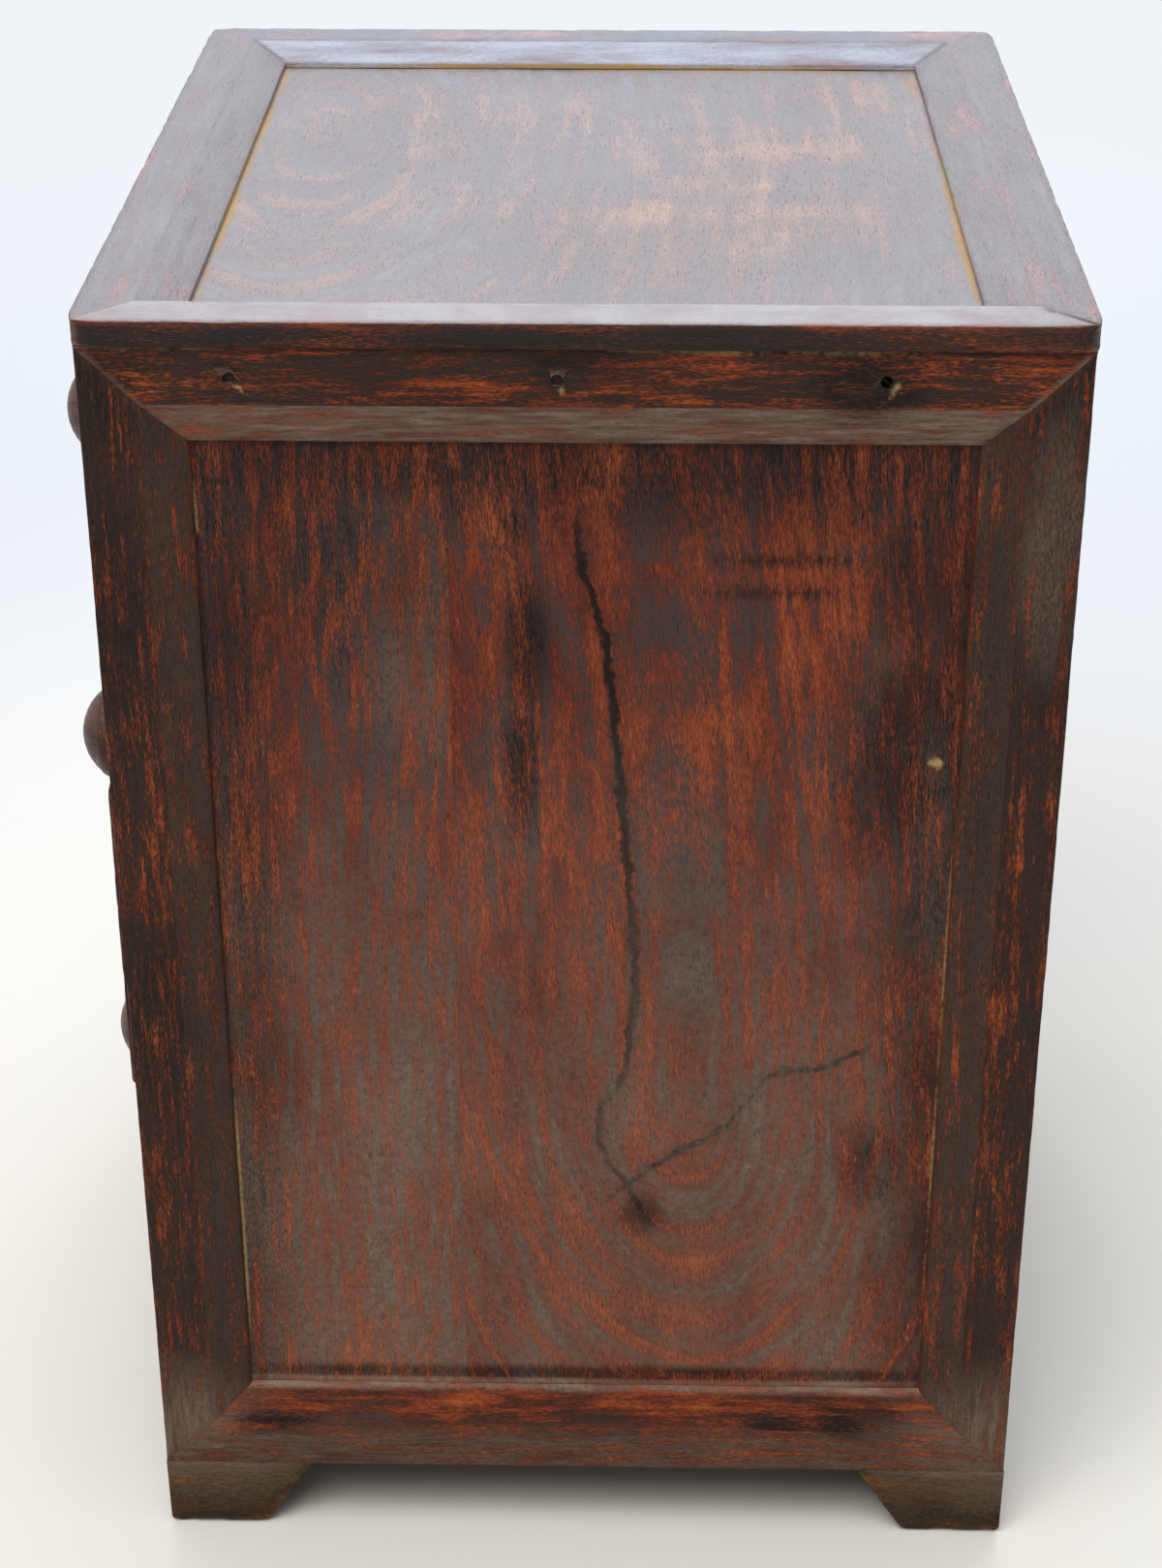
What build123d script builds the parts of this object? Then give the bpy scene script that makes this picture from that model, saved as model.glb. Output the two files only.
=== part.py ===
from build123d import *
import os

# Three-drawer tabletop chest of dark hardwood, in millimetres.
# +Z is up and the front, with the knobs, faces -Y.
# The origin is the centre of the base of the whole chest, knobs included.

# Overall sizes
carcass_width = 280.0  # over the outer faces of the two side frames
carcass_depth = 250.0  # front edge to back edge of a side frame
overall_height = 382.0
overrun = 5.0  # how far a cutting shape runs past what it cuts

# Framed sides and top
frame_thickness = 14.0
face_flat = 15.0  # flat of a member, from its outer edge to the bevel
bevel_width = 11.5
bevel_depth = 4.5
groove_lip = 1.5  # ledge between the bevel and the panel
groove_depth = 5.0
panel_thickness = 5.5
panel_play = 0.6  # room for the panel to swell at the foot of its groove
panel_gap = 0.1  # on each face of a panel, in its groove
board_seam = 0.2  # seam between the two boards of a panel or of the back
side_arris = 1.0  # rounding of the side frames' outer edges
narrow_board = 68.0  # the front board of a side panel
joint_gap = 0.1  # on each face of a tenon, a peg or a nail

# Mitre tenons of the side frames
side_tenon_inset = 6.0  # from the outer edge of the rail, and short of the stile's outer edge
side_tenon_width = 12.0
side_tenon_thickness = 5.0

# Top
top_lip = 7.0  # thickness of the edge that shows
top_body = 21.0  # full thickness, with the part that drops between the sides
top_overhang = 1.2
top_arris = 1.8
top_corner_radius = 4.0
top_tenon_inset = 4.0
top_tenon_width = 9.0
top_tenon_thickness = 2.5

# Feet
foot_height = 24.0
foot_thickness = 14.0
foot_length = 45.0  # along the carcass, where it meets the frame
foot_toe = 30.0  # along the floor
foot_arris = 1.2
peg_radius = 2.0
peg_length = 20.0  # half in the bracket, half in the rail above it

# Front rails and what the drawers run on
front_top_rail_height = 21.5
front_bottom_rail_height = 17.5
divider_height = 11.0
divider_depth = 24.0
stub_length = 3.5  # of the rails' stub tenons in the stiles
stub_shoulder = 3.0  # all round the stub
front_arris = 0.8
runner_width = 16.0
runner_tongue = 5.0
runner_tongue_height = 4.0
bottom_thickness = 8.0
back_thickness = 8.0
back_narrow_board = 112.0

# Drawers
drawer_names = ("top", "middle", "bottom")
middle_drawer_proud = 3.8  # the middle drawer stands a little open
drawer_side_gap = 0.7
drawer_top_gap = 1.2
drawer_seat_gap = 0.3
drawer_stop_gap = 1.5  # behind the drawer, to the back boards
drawer_front_thickness = 12.0
drawer_front_arris = 1.2
drawer_side_thickness = 8.0
drawer_side_drop = 6.0  # sides stop this far below the top of the front
drawer_back_thickness = 8.0
drawer_back_inset = 6.0  # from the rear ends of the sides
drawer_back_housing = 3.0
drawer_back_drop = 4.0  # back stops this far below the sides
drawer_bottom_thickness = 5.0
drawer_bottom_rise = 6.0  # under the bottom, to the lower edge of the sides
drawer_bottom_groove = 3.5

# Dovetails at the drawer fronts
tail_count = 3
tail_length = 8.0
tail_root = 12.0
tail_flare = 1.6  # by which each cheek widens to the tip
tail_gap = 0.08

# Knobs
knob_reach = 30.5
knob_dome_radius = 16.7
knob_dome_edge = 13.0  # radius at which the dome turns into the rim
knob_dome_mid_share = 0.5  # of that radius, where the dome's arc is pinned
knob_head_radius = 14.6
knob_head_drop = 9.2  # from the tip back to the widest part
knob_under_radius = 11.0
knob_under_drop = 13.3  # from the tip back to the underside of the head
knob_neck_radius = 6.5
knob_neck_rise = 9.0
knob_collar_radius = 9.0
knob_collar_height = 2.5
knob_collar_edge = 7.6
knob_spigot_radius = 4.0

# Nails
nail_shank_radius = 0.9
nail_head_radius = 1.6
nail_head_height = 1.0
nail_sink = 1.5  # punched below the surface of the side rails
nail_bite = 5.0  # in the piece behind
top_nail_drop = 8.0  # below the upper edge of the side frame
top_nail_front_inset = 38.0  # from the front edge of the side frame
top_nail_back_inset = 51.0  # from its back edge
back_nail_head_radius = 2.2
back_nail_edge_share = 0.17  # of a back board's width, from each of its edges
runner_nail_inset = 17.0  # from the back edge of the stile

# Places worked out from the sizes above
half_width = carcass_width / 2
inner_half = half_width - frame_thickness
carcass_y = (knob_reach + middle_drawer_proud - top_overhang) / 2
front_y = carcass_y - carcass_depth / 2
back_y = carcass_y + carcass_depth / 2
back_inner_y = back_y - back_thickness
side_top = overall_height - top_lip
side_height = side_top - foot_height
member_width = face_flat + bevel_width
panel_face = bevel_depth + groove_lip
groove_foot = member_width - groove_depth
groove_end = panel_face + panel_thickness + 2 * panel_gap
panel_inset = groove_foot + panel_play
front_rails = front_top_rail_height + front_bottom_rail_height
drawer_count = len(drawer_names)
opening_height = (side_height - front_rails - (drawer_count - 1) * divider_height) / drawer_count
opening_pitch = opening_height + divider_height
bottom_rail_top = foot_height + front_bottom_rail_height
divider_levels = [bottom_rail_top + opening_pitch * step + opening_height for step in (1, 0)]
top_nail_z = side_top - top_nail_drop
top_nail_length = frame_thickness - nail_sink + nail_bite
back_nail_length = back_thickness + nail_bite
runner_nail_length = runner_width + nail_bite
nodes = {}


def span(low, high):
    """Box between two opposite corners."""
    size = [b - a for a, b in zip(low, high)]
    middle = [(a + b) / 2 for a, b in zip(low, high)]
    return Pos(*middle) * Box(*size)


def grow(low, high, gap):
    """Box between two opposite corners, larger by a gap on every face."""
    return span([a - gap for a in low], [b + gap for b in high])


def mirrored(shape):
    """The same piece on the other side of the chest."""
    return mirror(shape, about=Plane.YZ)


# Framed sides and top

def groove_points(thickness):
    """Inner edge of a frame member: bevel, ledge, panel groove and back lip."""
    return [
        (member_width, -thickness),
        (member_width, -groove_end),
        (groove_foot, -groove_end),
        (groove_foot, -panel_face),
        (member_width, -panel_face),
        (member_width, -bevel_depth),
        (face_flat, 0),
    ]


def side_section():
    """Section of a side frame member, inward from its outer edge and down from its face."""
    arris = CenterArc((side_arris, -side_arris), side_arris, 90, 90)
    start = (0, -side_arris)
    end = (side_arris, 0)
    lines = Polyline(start, (0, -frame_thickness), *groove_points(frame_thickness), end)
    return make_face(arris + lines)


def top_section():
    """Section of a top member, before its lower part is cut to drop between the sides."""
    arris = CenterArc((top_arris, -top_arris), top_arris, 90, 90)
    start = (0, -top_arris)
    end = (top_arris, 0)
    lines = Polyline(start, (0, -top_body), *groove_points(top_body), end)
    return make_face(arris + lines)


def mitred_member(section, length, reach, turn):
    """Member along one edge of a frame, its ends cut at 45 degrees, turned to its edge."""
    bar = extrude(Plane.YZ * (Pos(-reach, 0) * section), length / 2, both=True)
    outer = length / 2
    inner = outer - member_width
    inner_reach = reach - member_width
    corners = ((-outer, -reach), (outer, -reach), (inner, -inner_reach), (-inner, -inner_reach))
    plan = make_face(Polyline(*corners, close=True))
    mitre = extrude(plan, top_body + overrun, both=True)
    return Rot(0, 0, turn) * (bar & mitre)


def mitre_tenons(length, reach, inset, width, thickness, drop, gap):
    """Tenons at both ends of the two rails of a frame, in the frame's own plane."""
    tenons = []
    for end in (-1, 1):
        for edge in (-1, 1):
            x_out = end * (length / 2 - inset)
            x_in = end * (length / 2 - member_width)
            y_out = edge * (reach - inset)
            y_in = edge * (reach - inset - width)
            low = (min(x_out, x_in), min(y_out, y_in), -drop - thickness)
            high = (max(x_out, x_in), max(y_out, y_in), -drop)
            tenons.append((edge, grow(low, high, gap)))
    return tenons


def framed(section, length, breadth, inset, width, thickness, drop):
    """Four members of a mitred frame: low rail, far stile, high rail, near stile."""
    low = mitred_member(section, length, breadth / 2, 0)
    far = mitred_member(section, breadth, length / 2, 90)
    high = mitred_member(section, length, breadth / 2, 180)
    near = mitred_member(section, breadth, length / 2, 270)
    for edge, tenon in mitre_tenons(length, breadth / 2, inset, width, thickness, drop, 0):
        if edge < 0:
            low += tenon
        else:
            high += tenon
    for edge, mortise in mitre_tenons(length, breadth / 2, inset, width, thickness, drop, joint_gap):
        far -= mortise
        near -= mortise
    return low, far, high, near


def side_frame():
    """Right side frame in place: bottom rail, back stile, top rail, front stile."""
    drop = (frame_thickness - side_tenon_thickness) / 2
    tenon = (side_tenon_inset, side_tenon_width, side_tenon_thickness, drop)
    members = framed(side_section(), carcass_depth, side_height, *tenon)
    middle_z = (foot_height + side_top) / 2
    place = Plane((half_width, carcass_y, middle_z), x_dir=(0, 1, 0), z_dir=(1, 0, 0)).location
    return [place * member for member in members]


def side_boards():
    """The two upright boards of the right side panel."""
    x_out = half_width - panel_face - panel_gap
    x_in = x_out - panel_thickness
    y_front = front_y + panel_inset
    y_back = back_y - panel_inset
    y_seam = y_front + narrow_board
    z_low = foot_height + panel_inset
    z_high = side_top - panel_inset
    front_board = span((x_in, y_front, z_low), (x_out, y_seam, z_high))
    back_board = span((x_in, y_seam + board_seam, z_low), (x_out, y_back, z_high))
    return front_board, back_board


def top_seat():
    """Space that the top fills: a lip over the carcass and a core between its four sides."""
    length = carcass_width + 2 * top_overhang
    breadth = carcass_depth + 2 * top_overhang
    lip = extrude(RectangleRounded(length, breadth, top_corner_radius), top_lip)
    core_x = inner_half - joint_gap
    core_low = (-core_x, front_y + frame_thickness + joint_gap, overall_height - top_body)
    core_high = (core_x, back_inner_y - joint_gap, overall_height)
    return Pos(0, carcass_y, side_top) * lip + span(core_low, core_high)


def top_frame():
    """Top frame in place: front, right, back and left members."""
    length = carcass_width + 2 * top_overhang
    breadth = carcass_depth + 2 * top_overhang
    drop = (top_lip - top_tenon_thickness) / 2
    tenon = (top_tenon_inset, top_tenon_width, top_tenon_thickness, drop)
    members = framed(top_section(), length, breadth, *tenon)
    seat = top_seat()
    return [(Pos(0, carcass_y, overall_height) * member) & seat for member in members]


def top_board():
    """The panel of the top, loose in its grooves."""
    half_x = half_width + top_overhang - panel_inset
    half_y = carcass_depth / 2 + top_overhang - panel_inset
    z_high = overall_height - panel_face - panel_gap
    low = (-half_x, carcass_y - half_y, z_high - panel_thickness)
    return span(low, (half_x, carcass_y + half_y, z_high))


# Nails and pegs

def nail(length, head_radius):
    """Nail along -Z with the top of its head at the origin."""
    head = Pos(0, 0, -nail_head_height / 2) * Cylinder(head_radius, nail_head_height)
    return head + Pos(0, 0, -length / 2) * Cylinder(nail_shank_radius, length)


def nail_hole(length, head_radius):
    """Hole that such a nail leaves, open to the surface above its head."""
    bore = Pos(0, 0, -length / 2) * Cylinder(nail_shank_radius + joint_gap, length + 2 * joint_gap)
    sink = nail_sink + overrun + nail_head_height + joint_gap
    mouth_middle = sink / 2 - nail_head_height - joint_gap
    return bore + Pos(0, 0, mouth_middle) * Cylinder(head_radius + joint_gap, sink)


def facing(x, y, z, direction):
    """Location whose +Z points out of a surface."""
    return Plane((x, y, z), z_dir=direction).location


def back_board_edges():
    """Left and right edge of each back board, seen from the front."""
    seam = -inner_half + back_narrow_board
    return (-inner_half, seam), (seam + board_seam, inner_half)


def top_nail_places():
    """Nails through the right side's top rail into the top, punched below the surface."""
    x = half_width - nail_sink
    first_y = front_y + top_nail_front_inset
    last_y = back_y - top_nail_back_inset
    return [facing(x, y, top_nail_z, (1, 0, 0)) for y in (first_y, (first_y + last_y) / 2, last_y)]


def back_nail_places():
    """Nails through the back boards into the top and into the bottom board."""
    places = []
    for left_edge, right_edge in back_board_edges():
        inset = back_nail_edge_share * (right_edge - left_edge)
        for x in (left_edge + inset, right_edge - inset):
            for z in (top_nail_z, bottom_rail_top - bottom_thickness / 2):
                places.append(facing(x, back_y, z, (0, 1, 0)))
    return places


def runner_nail_places():
    """Nails through the right-hand runners into the back stile."""
    x = inner_half - runner_width
    y = back_y - runner_nail_inset
    return [facing(x, y, level + divider_height / 2, (-1, 0, 0)) for level in divider_levels]


def peg_places(end_y, step_y, depth):
    """Pegs of the side bracket and of the end bracket at one right-hand corner."""
    along = (foot_length + foot_toe) / 2 - peg_radius
    side_place = (half_width - frame_thickness / 2, end_y + step_y * along)
    end_place = (half_width - along, end_y + step_y * depth / 2)
    return side_place, end_place


def peg(x, y, gap):
    """Peg through the joint between a foot bracket and what stands on it."""
    return Pos(x, y, foot_height) * Cylinder(peg_radius + gap, peg_length + 2 * gap)


# Feet

def foot_profile():
    """A bracket seen from its outer face, from the corner inward along X."""
    points = ((0, 0), (foot_toe, 0), (foot_length, foot_height), (0, foot_height))
    return make_face(Polyline(*points, close=True))


def foot_pair(end_y, step_y):
    """Side bracket and end bracket of the right-hand foot at one end of the chest."""
    profile = foot_profile()
    bracket = extrude(Plane.XZ * profile, -foot_thickness)
    tip = (0, 0)
    inner = (foot_thickness, foot_thickness)
    far = (foot_length, foot_thickness)
    plan = make_face(Polyline(tip, (foot_length, 0), far, inner, close=True))
    bracket = bracket & extrude(plan, foot_height)
    outer_edges = bracket.edges().filter_by(Axis.X).group_by(Axis.Y)[0].group_by(Axis.Z)[0]
    bracket = fillet(outer_edges, foot_arris)
    end_bracket = mirror(bracket, about=Plane.YZ)
    side_bracket = Rot(0, 0, 90) * bracket
    if step_y < 0:
        end_bracket = mirror(end_bracket, about=Plane.XZ)
        side_bracket = mirror(side_bracket, about=Plane.XZ)
    corner = Pos(half_width, end_y, 0)
    return corner * side_bracket, corner * end_bracket


# Front rails, runners, bottom and back

def cross_rail(z_low, z_high, depth, stub_top):
    """Rail between the front stiles, with a stub tenon at each end."""
    rail = span((-inner_half, front_y, z_low), (inner_half, front_y + depth, z_high))
    front_edges = rail.edges().filter_by(Axis.X).group_by(Axis.Y)[0]
    rail = fillet(front_edges, front_arris)
    stub_depth = min(depth, frame_thickness) - stub_shoulder
    low = (-inner_half - stub_length, front_y + stub_shoulder, z_low + stub_shoulder)
    high = (inner_half + stub_length, front_y + stub_depth, stub_top)
    return rail + span(low, high), grow(low, high, joint_gap)


def runner(level, gap):
    """Right-hand drawer runner behind a divider, tongued into it."""
    z_high = level + divider_height
    body_low = (inner_half - runner_width, front_y + divider_depth, level)
    body = span(body_low, (inner_half, back_inner_y, z_high))
    tongue_z = level + (divider_height - runner_tongue_height) / 2
    tongue_low = (inner_half - runner_width, front_y + divider_depth - runner_tongue, tongue_z)
    tongue_high = (inner_half, front_y + divider_depth, tongue_z + runner_tongue_height)
    return body + span(tongue_low, tongue_high), grow(tongue_low, tongue_high, gap)


# Drawers

def tails(x_low, x_high, y_root, z_low, z_high, gap):
    """Row of dovetails on the front end of a drawer side."""
    pitch = (z_high - z_low) / tail_count
    row = []
    for step in range(tail_count):
        middle = z_low + (step + 0.5) * pitch
        root = tail_root / 2 + gap
        tip = root + tail_flare
        y_tip = y_root - tail_length - gap
        root_corners = (y_root, middle - root), (y_root, middle + root)
        tip_corners = (y_tip, middle + tip), (y_tip, middle - tip)
        outline = make_face(Polyline(*root_corners, *tip_corners, close=True))
        row.append(Pos(x_low - gap, 0, 0) * extrude(Plane.YZ * outline, x_high - x_low + 2 * gap))
    return row


def dome_rise(radius):
    """Height of the knob's dome above the drawer front, at a radius from its axis."""
    return knob_reach - knob_dome_radius + (knob_dome_radius**2 - radius**2) ** 0.5


def knob(y_face, z):
    """Turned knob with the spigot that passes through the drawer front."""
    tip = (0, knob_reach)
    dome_mid_radius = knob_dome_edge * knob_dome_mid_share
    dome_mid = (dome_mid_radius, dome_rise(dome_mid_radius))
    dome_edge = (knob_dome_edge, dome_rise(knob_dome_edge))
    widest = (knob_head_radius, knob_reach - knob_head_drop)
    under = (knob_under_radius, knob_reach - knob_under_drop)
    neck = (knob_neck_radius, knob_neck_rise)
    collar_top = (knob_collar_edge, knob_collar_height)
    spigot_end = (0, -drawer_front_thickness)
    outline = [
        ThreePointArc(tip, dome_mid, dome_edge),
        ThreePointArc(dome_edge, widest, under),
        ThreePointArc(under, neck, collar_top),
        Polyline(
            collar_top,
            (knob_collar_radius, knob_collar_height / 2),
            (knob_collar_radius, 0),
            (knob_spigot_radius, 0),
            (knob_spigot_radius, -drawer_front_thickness),
            spigot_end,
            tip,
        ),
    ]
    turned = revolve(make_face(outline), Axis.Y)
    return Pos(0, y_face, z) * (Rot(180, 0, 0) * turned)


def drawer(name, floor, proud):
    """One drawer, closed or standing a little proud: front, sides, back, bottom and knob."""
    y_face = front_y - proud
    y_root = y_face + drawer_front_thickness
    y_end = back_inner_y - drawer_stop_gap - proud
    z_low = floor + drawer_seat_gap
    z_high = floor + opening_height - drawer_top_gap
    side_high = z_high - drawer_side_drop
    half = inner_half - drawer_side_gap
    side_in = half - drawer_side_thickness
    bottom_low = z_low + drawer_bottom_rise
    bottom_high = bottom_low + drawer_bottom_thickness
    back_low_y = y_end - drawer_back_inset - drawer_back_thickness
    back_high_y = y_end - drawer_back_inset
    knob_z = floor + opening_height / 2

    front = span((-half, y_face, z_low), (half, y_root, z_high))
    front = fillet(front.faces().sort_by(Axis.Y)[0].edges(), drawer_front_arris)
    right_side = span((side_in, y_root, z_low), (half, y_end, side_high))
    for tail in tails(side_in, half, y_root, z_low, side_high, 0):
        right_side += tail
    for socket in tails(side_in, half, y_root, z_low, side_high, tail_gap):
        front -= socket + mirrored(socket)
    knob_bore = Cylinder(knob_spigot_radius + joint_gap, 2 * (drawer_front_thickness + overrun))
    front -= Pos(0, y_face, knob_z) * (Rot(90, 0, 0) * knob_bore)

    bottom_half = side_in + drawer_bottom_groove - panel_play
    bottom_front_y = y_root - drawer_bottom_groove + panel_play
    bottom = span((-bottom_half, bottom_front_y, bottom_low), (bottom_half, back_high_y, bottom_high))
    groove_half = side_in + drawer_bottom_groove
    groove_low = (-groove_half, y_root - drawer_bottom_groove, bottom_low - panel_gap)
    groove = span(groove_low, (groove_half, y_end + overrun, bottom_high + panel_gap))
    front -= groove
    right_side -= groove

    back_half = side_in + drawer_back_housing
    back_low = (-back_half, back_low_y, bottom_high + panel_gap)
    back_high = (back_half, back_high_y, side_high - drawer_back_drop)
    housing_high = (back_half, back_high_y, side_high + overrun)
    right_side -= grow(back_low, housing_high, joint_gap)

    nodes[name + "_drawer_front"] = front
    nodes[name + "_drawer_right_side"] = right_side
    nodes[name + "_drawer_left_side"] = mirrored(right_side)
    nodes[name + "_drawer_back"] = span(back_low, back_high)
    nodes[name + "_drawer_bottom"] = bottom
    nodes[name + "_drawer_knob"] = knob(y_face, knob_z)


# Side frames, with the grooves and mortises that take the rails and the bottom board

bottom_rail, back_stile, top_rail, front_stile = side_frame()
bottom_low = (-inner_half - stub_length, front_y + frame_thickness, bottom_rail_top - bottom_thickness)
bottom_high = (inner_half + stub_length, back_inner_y, bottom_rail_top)
bottom_board = span(bottom_low, bottom_high)
bottom_groove = grow(bottom_low, bottom_high, joint_gap)

front_top, front_top_mortise = cross_rail(
    side_top - front_top_rail_height, side_top, frame_thickness, side_top - frame_thickness
)
front_bottom, front_bottom_mortise = cross_rail(
    foot_height, bottom_rail_top, frame_thickness, bottom_rail_top - stub_shoulder
)
dividers = []
runners = []
for level in divider_levels:
    divider, divider_mortise = cross_rail(
        level, level + divider_height, divider_depth, level + divider_height - stub_shoulder
    )
    right_runner, runner_groove = runner(level, joint_gap)
    divider -= runner_groove + mirrored(runner_groove)
    front_stile -= divider_mortise
    dividers.append(divider)
    runners.append(right_runner)
front_stile -= front_top_mortise + front_bottom_mortise + bottom_groove
back_stile -= bottom_groove
bottom_rail -= front_bottom_mortise + bottom_groove

# Holes for the nails and pegs

top_front, top_right, top_back, top_left = top_frame()
back_boards = []
for left_edge, right_edge in back_board_edges():
    back_boards.append(span((left_edge, back_inner_y, foot_height), (right_edge, back_y, side_top)))

for place in top_nail_places():
    hole = place * nail_hole(top_nail_length, nail_head_radius)
    top_rail -= hole
    top_right -= hole
    top_left -= mirrored(hole)
for place in back_nail_places():
    hole = place * nail_hole(back_nail_length, back_nail_head_radius)
    back_boards = [board - hole for board in back_boards]
    top_back -= hole
    bottom_board -= hole
for place in runner_nail_places():
    hole = place * nail_hole(runner_nail_length, nail_head_radius)
    runners = [strip - hole for strip in runners]
    back_stile -= hole

feet = {}
pegs = []
chest_ends = (("front", front_y, 1, frame_thickness), ("back", back_y, -1, back_thickness))
for end, end_y, step_y, depth in chest_ends:
    side_bracket, end_bracket = foot_pair(end_y, step_y)
    side_place, end_place = peg_places(end_y, step_y, depth)
    side_hole = peg(*side_place, joint_gap)
    end_hole = peg(*end_place, joint_gap)
    feet[end] = (side_bracket - side_hole, end_bracket - end_hole)
    pegs += [peg(*side_place, 0), peg(*end_place, 0)]
    bottom_rail -= side_hole
    if end == "front":
        front_bottom -= end_hole + mirrored(end_hole)
    else:
        back_boards = [board - end_hole - mirrored(end_hole) for board in back_boards]

# All pieces by name

nodes["top_front_rail"] = top_front
nodes["top_back_rail"] = top_back
nodes["top_right_rail"] = top_right
nodes["top_left_rail"] = top_left
nodes["top_panel"] = top_board()

front_board, back_board = side_boards()
right_side_pieces = {
    "front_stile": front_stile,
    "back_stile": back_stile,
    "top_rail": top_rail,
    "bottom_rail": bottom_rail,
    "panel_front_board": front_board,
    "panel_back_board": back_board,
    "upper_runner": runners[0],
    "lower_runner": runners[1],
}
for end, (side_bracket, end_bracket) in feet.items():
    right_side_pieces[end + "_foot_side_bracket"] = side_bracket
    right_side_pieces[end + "_foot_end_bracket"] = end_bracket
for name, piece in right_side_pieces.items():
    nodes["right_" + name] = piece
    nodes["left_" + name] = mirrored(piece)

nodes["front_top_rail"] = front_top
nodes["front_bottom_rail"] = front_bottom
nodes["upper_divider_rail"] = dividers[0]
nodes["lower_divider_rail"] = dividers[1]
nodes["bottom_board"] = bottom_board
nodes["back_left_board"] = back_boards[0]
nodes["back_right_board"] = back_boards[1]

for step, name in enumerate(drawer_names):
    floor = bottom_rail_top + opening_pitch * (drawer_count - 1 - step)
    drawer(name, floor, middle_drawer_proud if name == "middle" else 0)

side_nails = [place * nail(top_nail_length, nail_head_radius) for place in top_nail_places()]
runner_nails = [place * nail(runner_nail_length, nail_head_radius) for place in runner_nail_places()]
back_nails = [place * nail(back_nail_length, back_nail_head_radius) for place in back_nail_places()]
nodes["top_nails"] = Compound(side_nails + [mirrored(piece) for piece in side_nails])
nodes["runner_nails"] = Compound(runner_nails + [mirrored(piece) for piece in runner_nails])
nodes["back_nails"] = Compound(back_nails)
nodes["foot_pegs"] = Compound(pegs + [mirrored(piece) for piece in pegs])

os.makedirs("parts", exist_ok=True)
for name, shape in nodes.items():
    export_step(shape, "parts/" + name + ".step")
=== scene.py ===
import math

import bmesh
import bpy
from mathutils import Euler, Matrix, Vector, noise


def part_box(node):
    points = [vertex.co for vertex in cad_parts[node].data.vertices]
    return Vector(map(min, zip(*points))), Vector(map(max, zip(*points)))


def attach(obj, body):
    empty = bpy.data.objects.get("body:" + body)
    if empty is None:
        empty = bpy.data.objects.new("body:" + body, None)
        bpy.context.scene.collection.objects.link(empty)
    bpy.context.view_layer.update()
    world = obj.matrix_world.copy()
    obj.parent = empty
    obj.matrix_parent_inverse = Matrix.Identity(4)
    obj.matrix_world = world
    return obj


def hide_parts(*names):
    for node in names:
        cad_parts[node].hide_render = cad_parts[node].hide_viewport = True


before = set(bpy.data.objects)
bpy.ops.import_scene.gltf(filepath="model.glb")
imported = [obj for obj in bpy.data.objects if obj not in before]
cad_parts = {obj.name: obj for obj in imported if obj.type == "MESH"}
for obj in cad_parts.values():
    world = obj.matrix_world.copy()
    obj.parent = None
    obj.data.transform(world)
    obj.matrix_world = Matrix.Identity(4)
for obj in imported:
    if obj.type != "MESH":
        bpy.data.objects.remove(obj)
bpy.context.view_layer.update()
mm = 0.001


# Side frames
# Each side of the chest is a frame of four rosewood members, mitred at the corners over hidden tenons.
# The inner edge of every member is planed to a slope that runs down to the panel held in its groove, and
# three nails, punched below the surface, hold the top rail to the top of the chest.

flat_width = 15 * mm
slope_width = 11.5 * mm
slope_depth = 4.5 * mm
panel_face = 6.0 * mm
groove_width = 5.7 * mm
groove_depth = 5.0 * mm
groove_reach = 13 * mm
worn_arris = 1.0 * mm
joint_arris = 0.12 * mm
slope_arris = 0.25 * mm
mitre_arris = 0.1 * mm
nail_hole = 1.05 * mm
nail_sink = 1.55 * mm
wear_step = 2 * mm
fine_wear_step = 1.3 * mm
hair = mm / 10
touching = mm / 1000
smooth_angle = math.radians(38)
# the rest in mm: lines across the face and down the edge of a member, from its outer corner, where it can
# wear, the sizes of nicks, chips and hollows, and the places of the outer face and the nails
face_lines = (2.4, 5, 10, 14.2, 15.8, 21, 24.5)
edge_lines = (2.4, 12)
nick_size = 4.5
chip_size = 16
hollow_size = 30
side_face = 140
side_nails = (-70.45, 10.05, 90.55)
nail_height = 367
X, Y, Z = (Vector(row) for row in Matrix.Identity(3))


def block(name, low, high):
    """A sawn piece of wood, squared up between two corners."""
    bpy.ops.object.select_all(action="DESELECT")
    bpy.ops.mesh.primitive_cube_add(size=1, location=(low + high) / 2, scale=high - low)
    bpy.ops.object.transform_apply(location=True, rotation=True, scale=True)
    piece = bpy.context.object
    piece.name = piece.data.name = name
    piece.vertex_groups.new(name="arris")
    return piece


def far_corner(low, high, way):
    """The corner of a box that lies furthest some way."""
    return Vector([high[a] if way[a] > 0 else low[a] for a in range(3)])


def saw(at, away, drop=True):
    """Saws the piece in hand along a plane: the away side drops off, or the saw only marks a line."""
    bpy.ops.object.mode_set(mode="EDIT")
    bpy.ops.mesh.select_all(action="SELECT")
    bpy.ops.mesh.bisect(plane_co=at, plane_no=away.normalized(), use_fill=drop, clear_outer=drop,
                        threshold=touching)
    bpy.ops.object.mode_set(mode="OBJECT")


def score(corner, way, steps):
    """Marks lines across the piece in hand, at steps in mm from a corner."""
    for step in steps:
        saw(corner + way * step * mm, way, drop=False)


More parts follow.
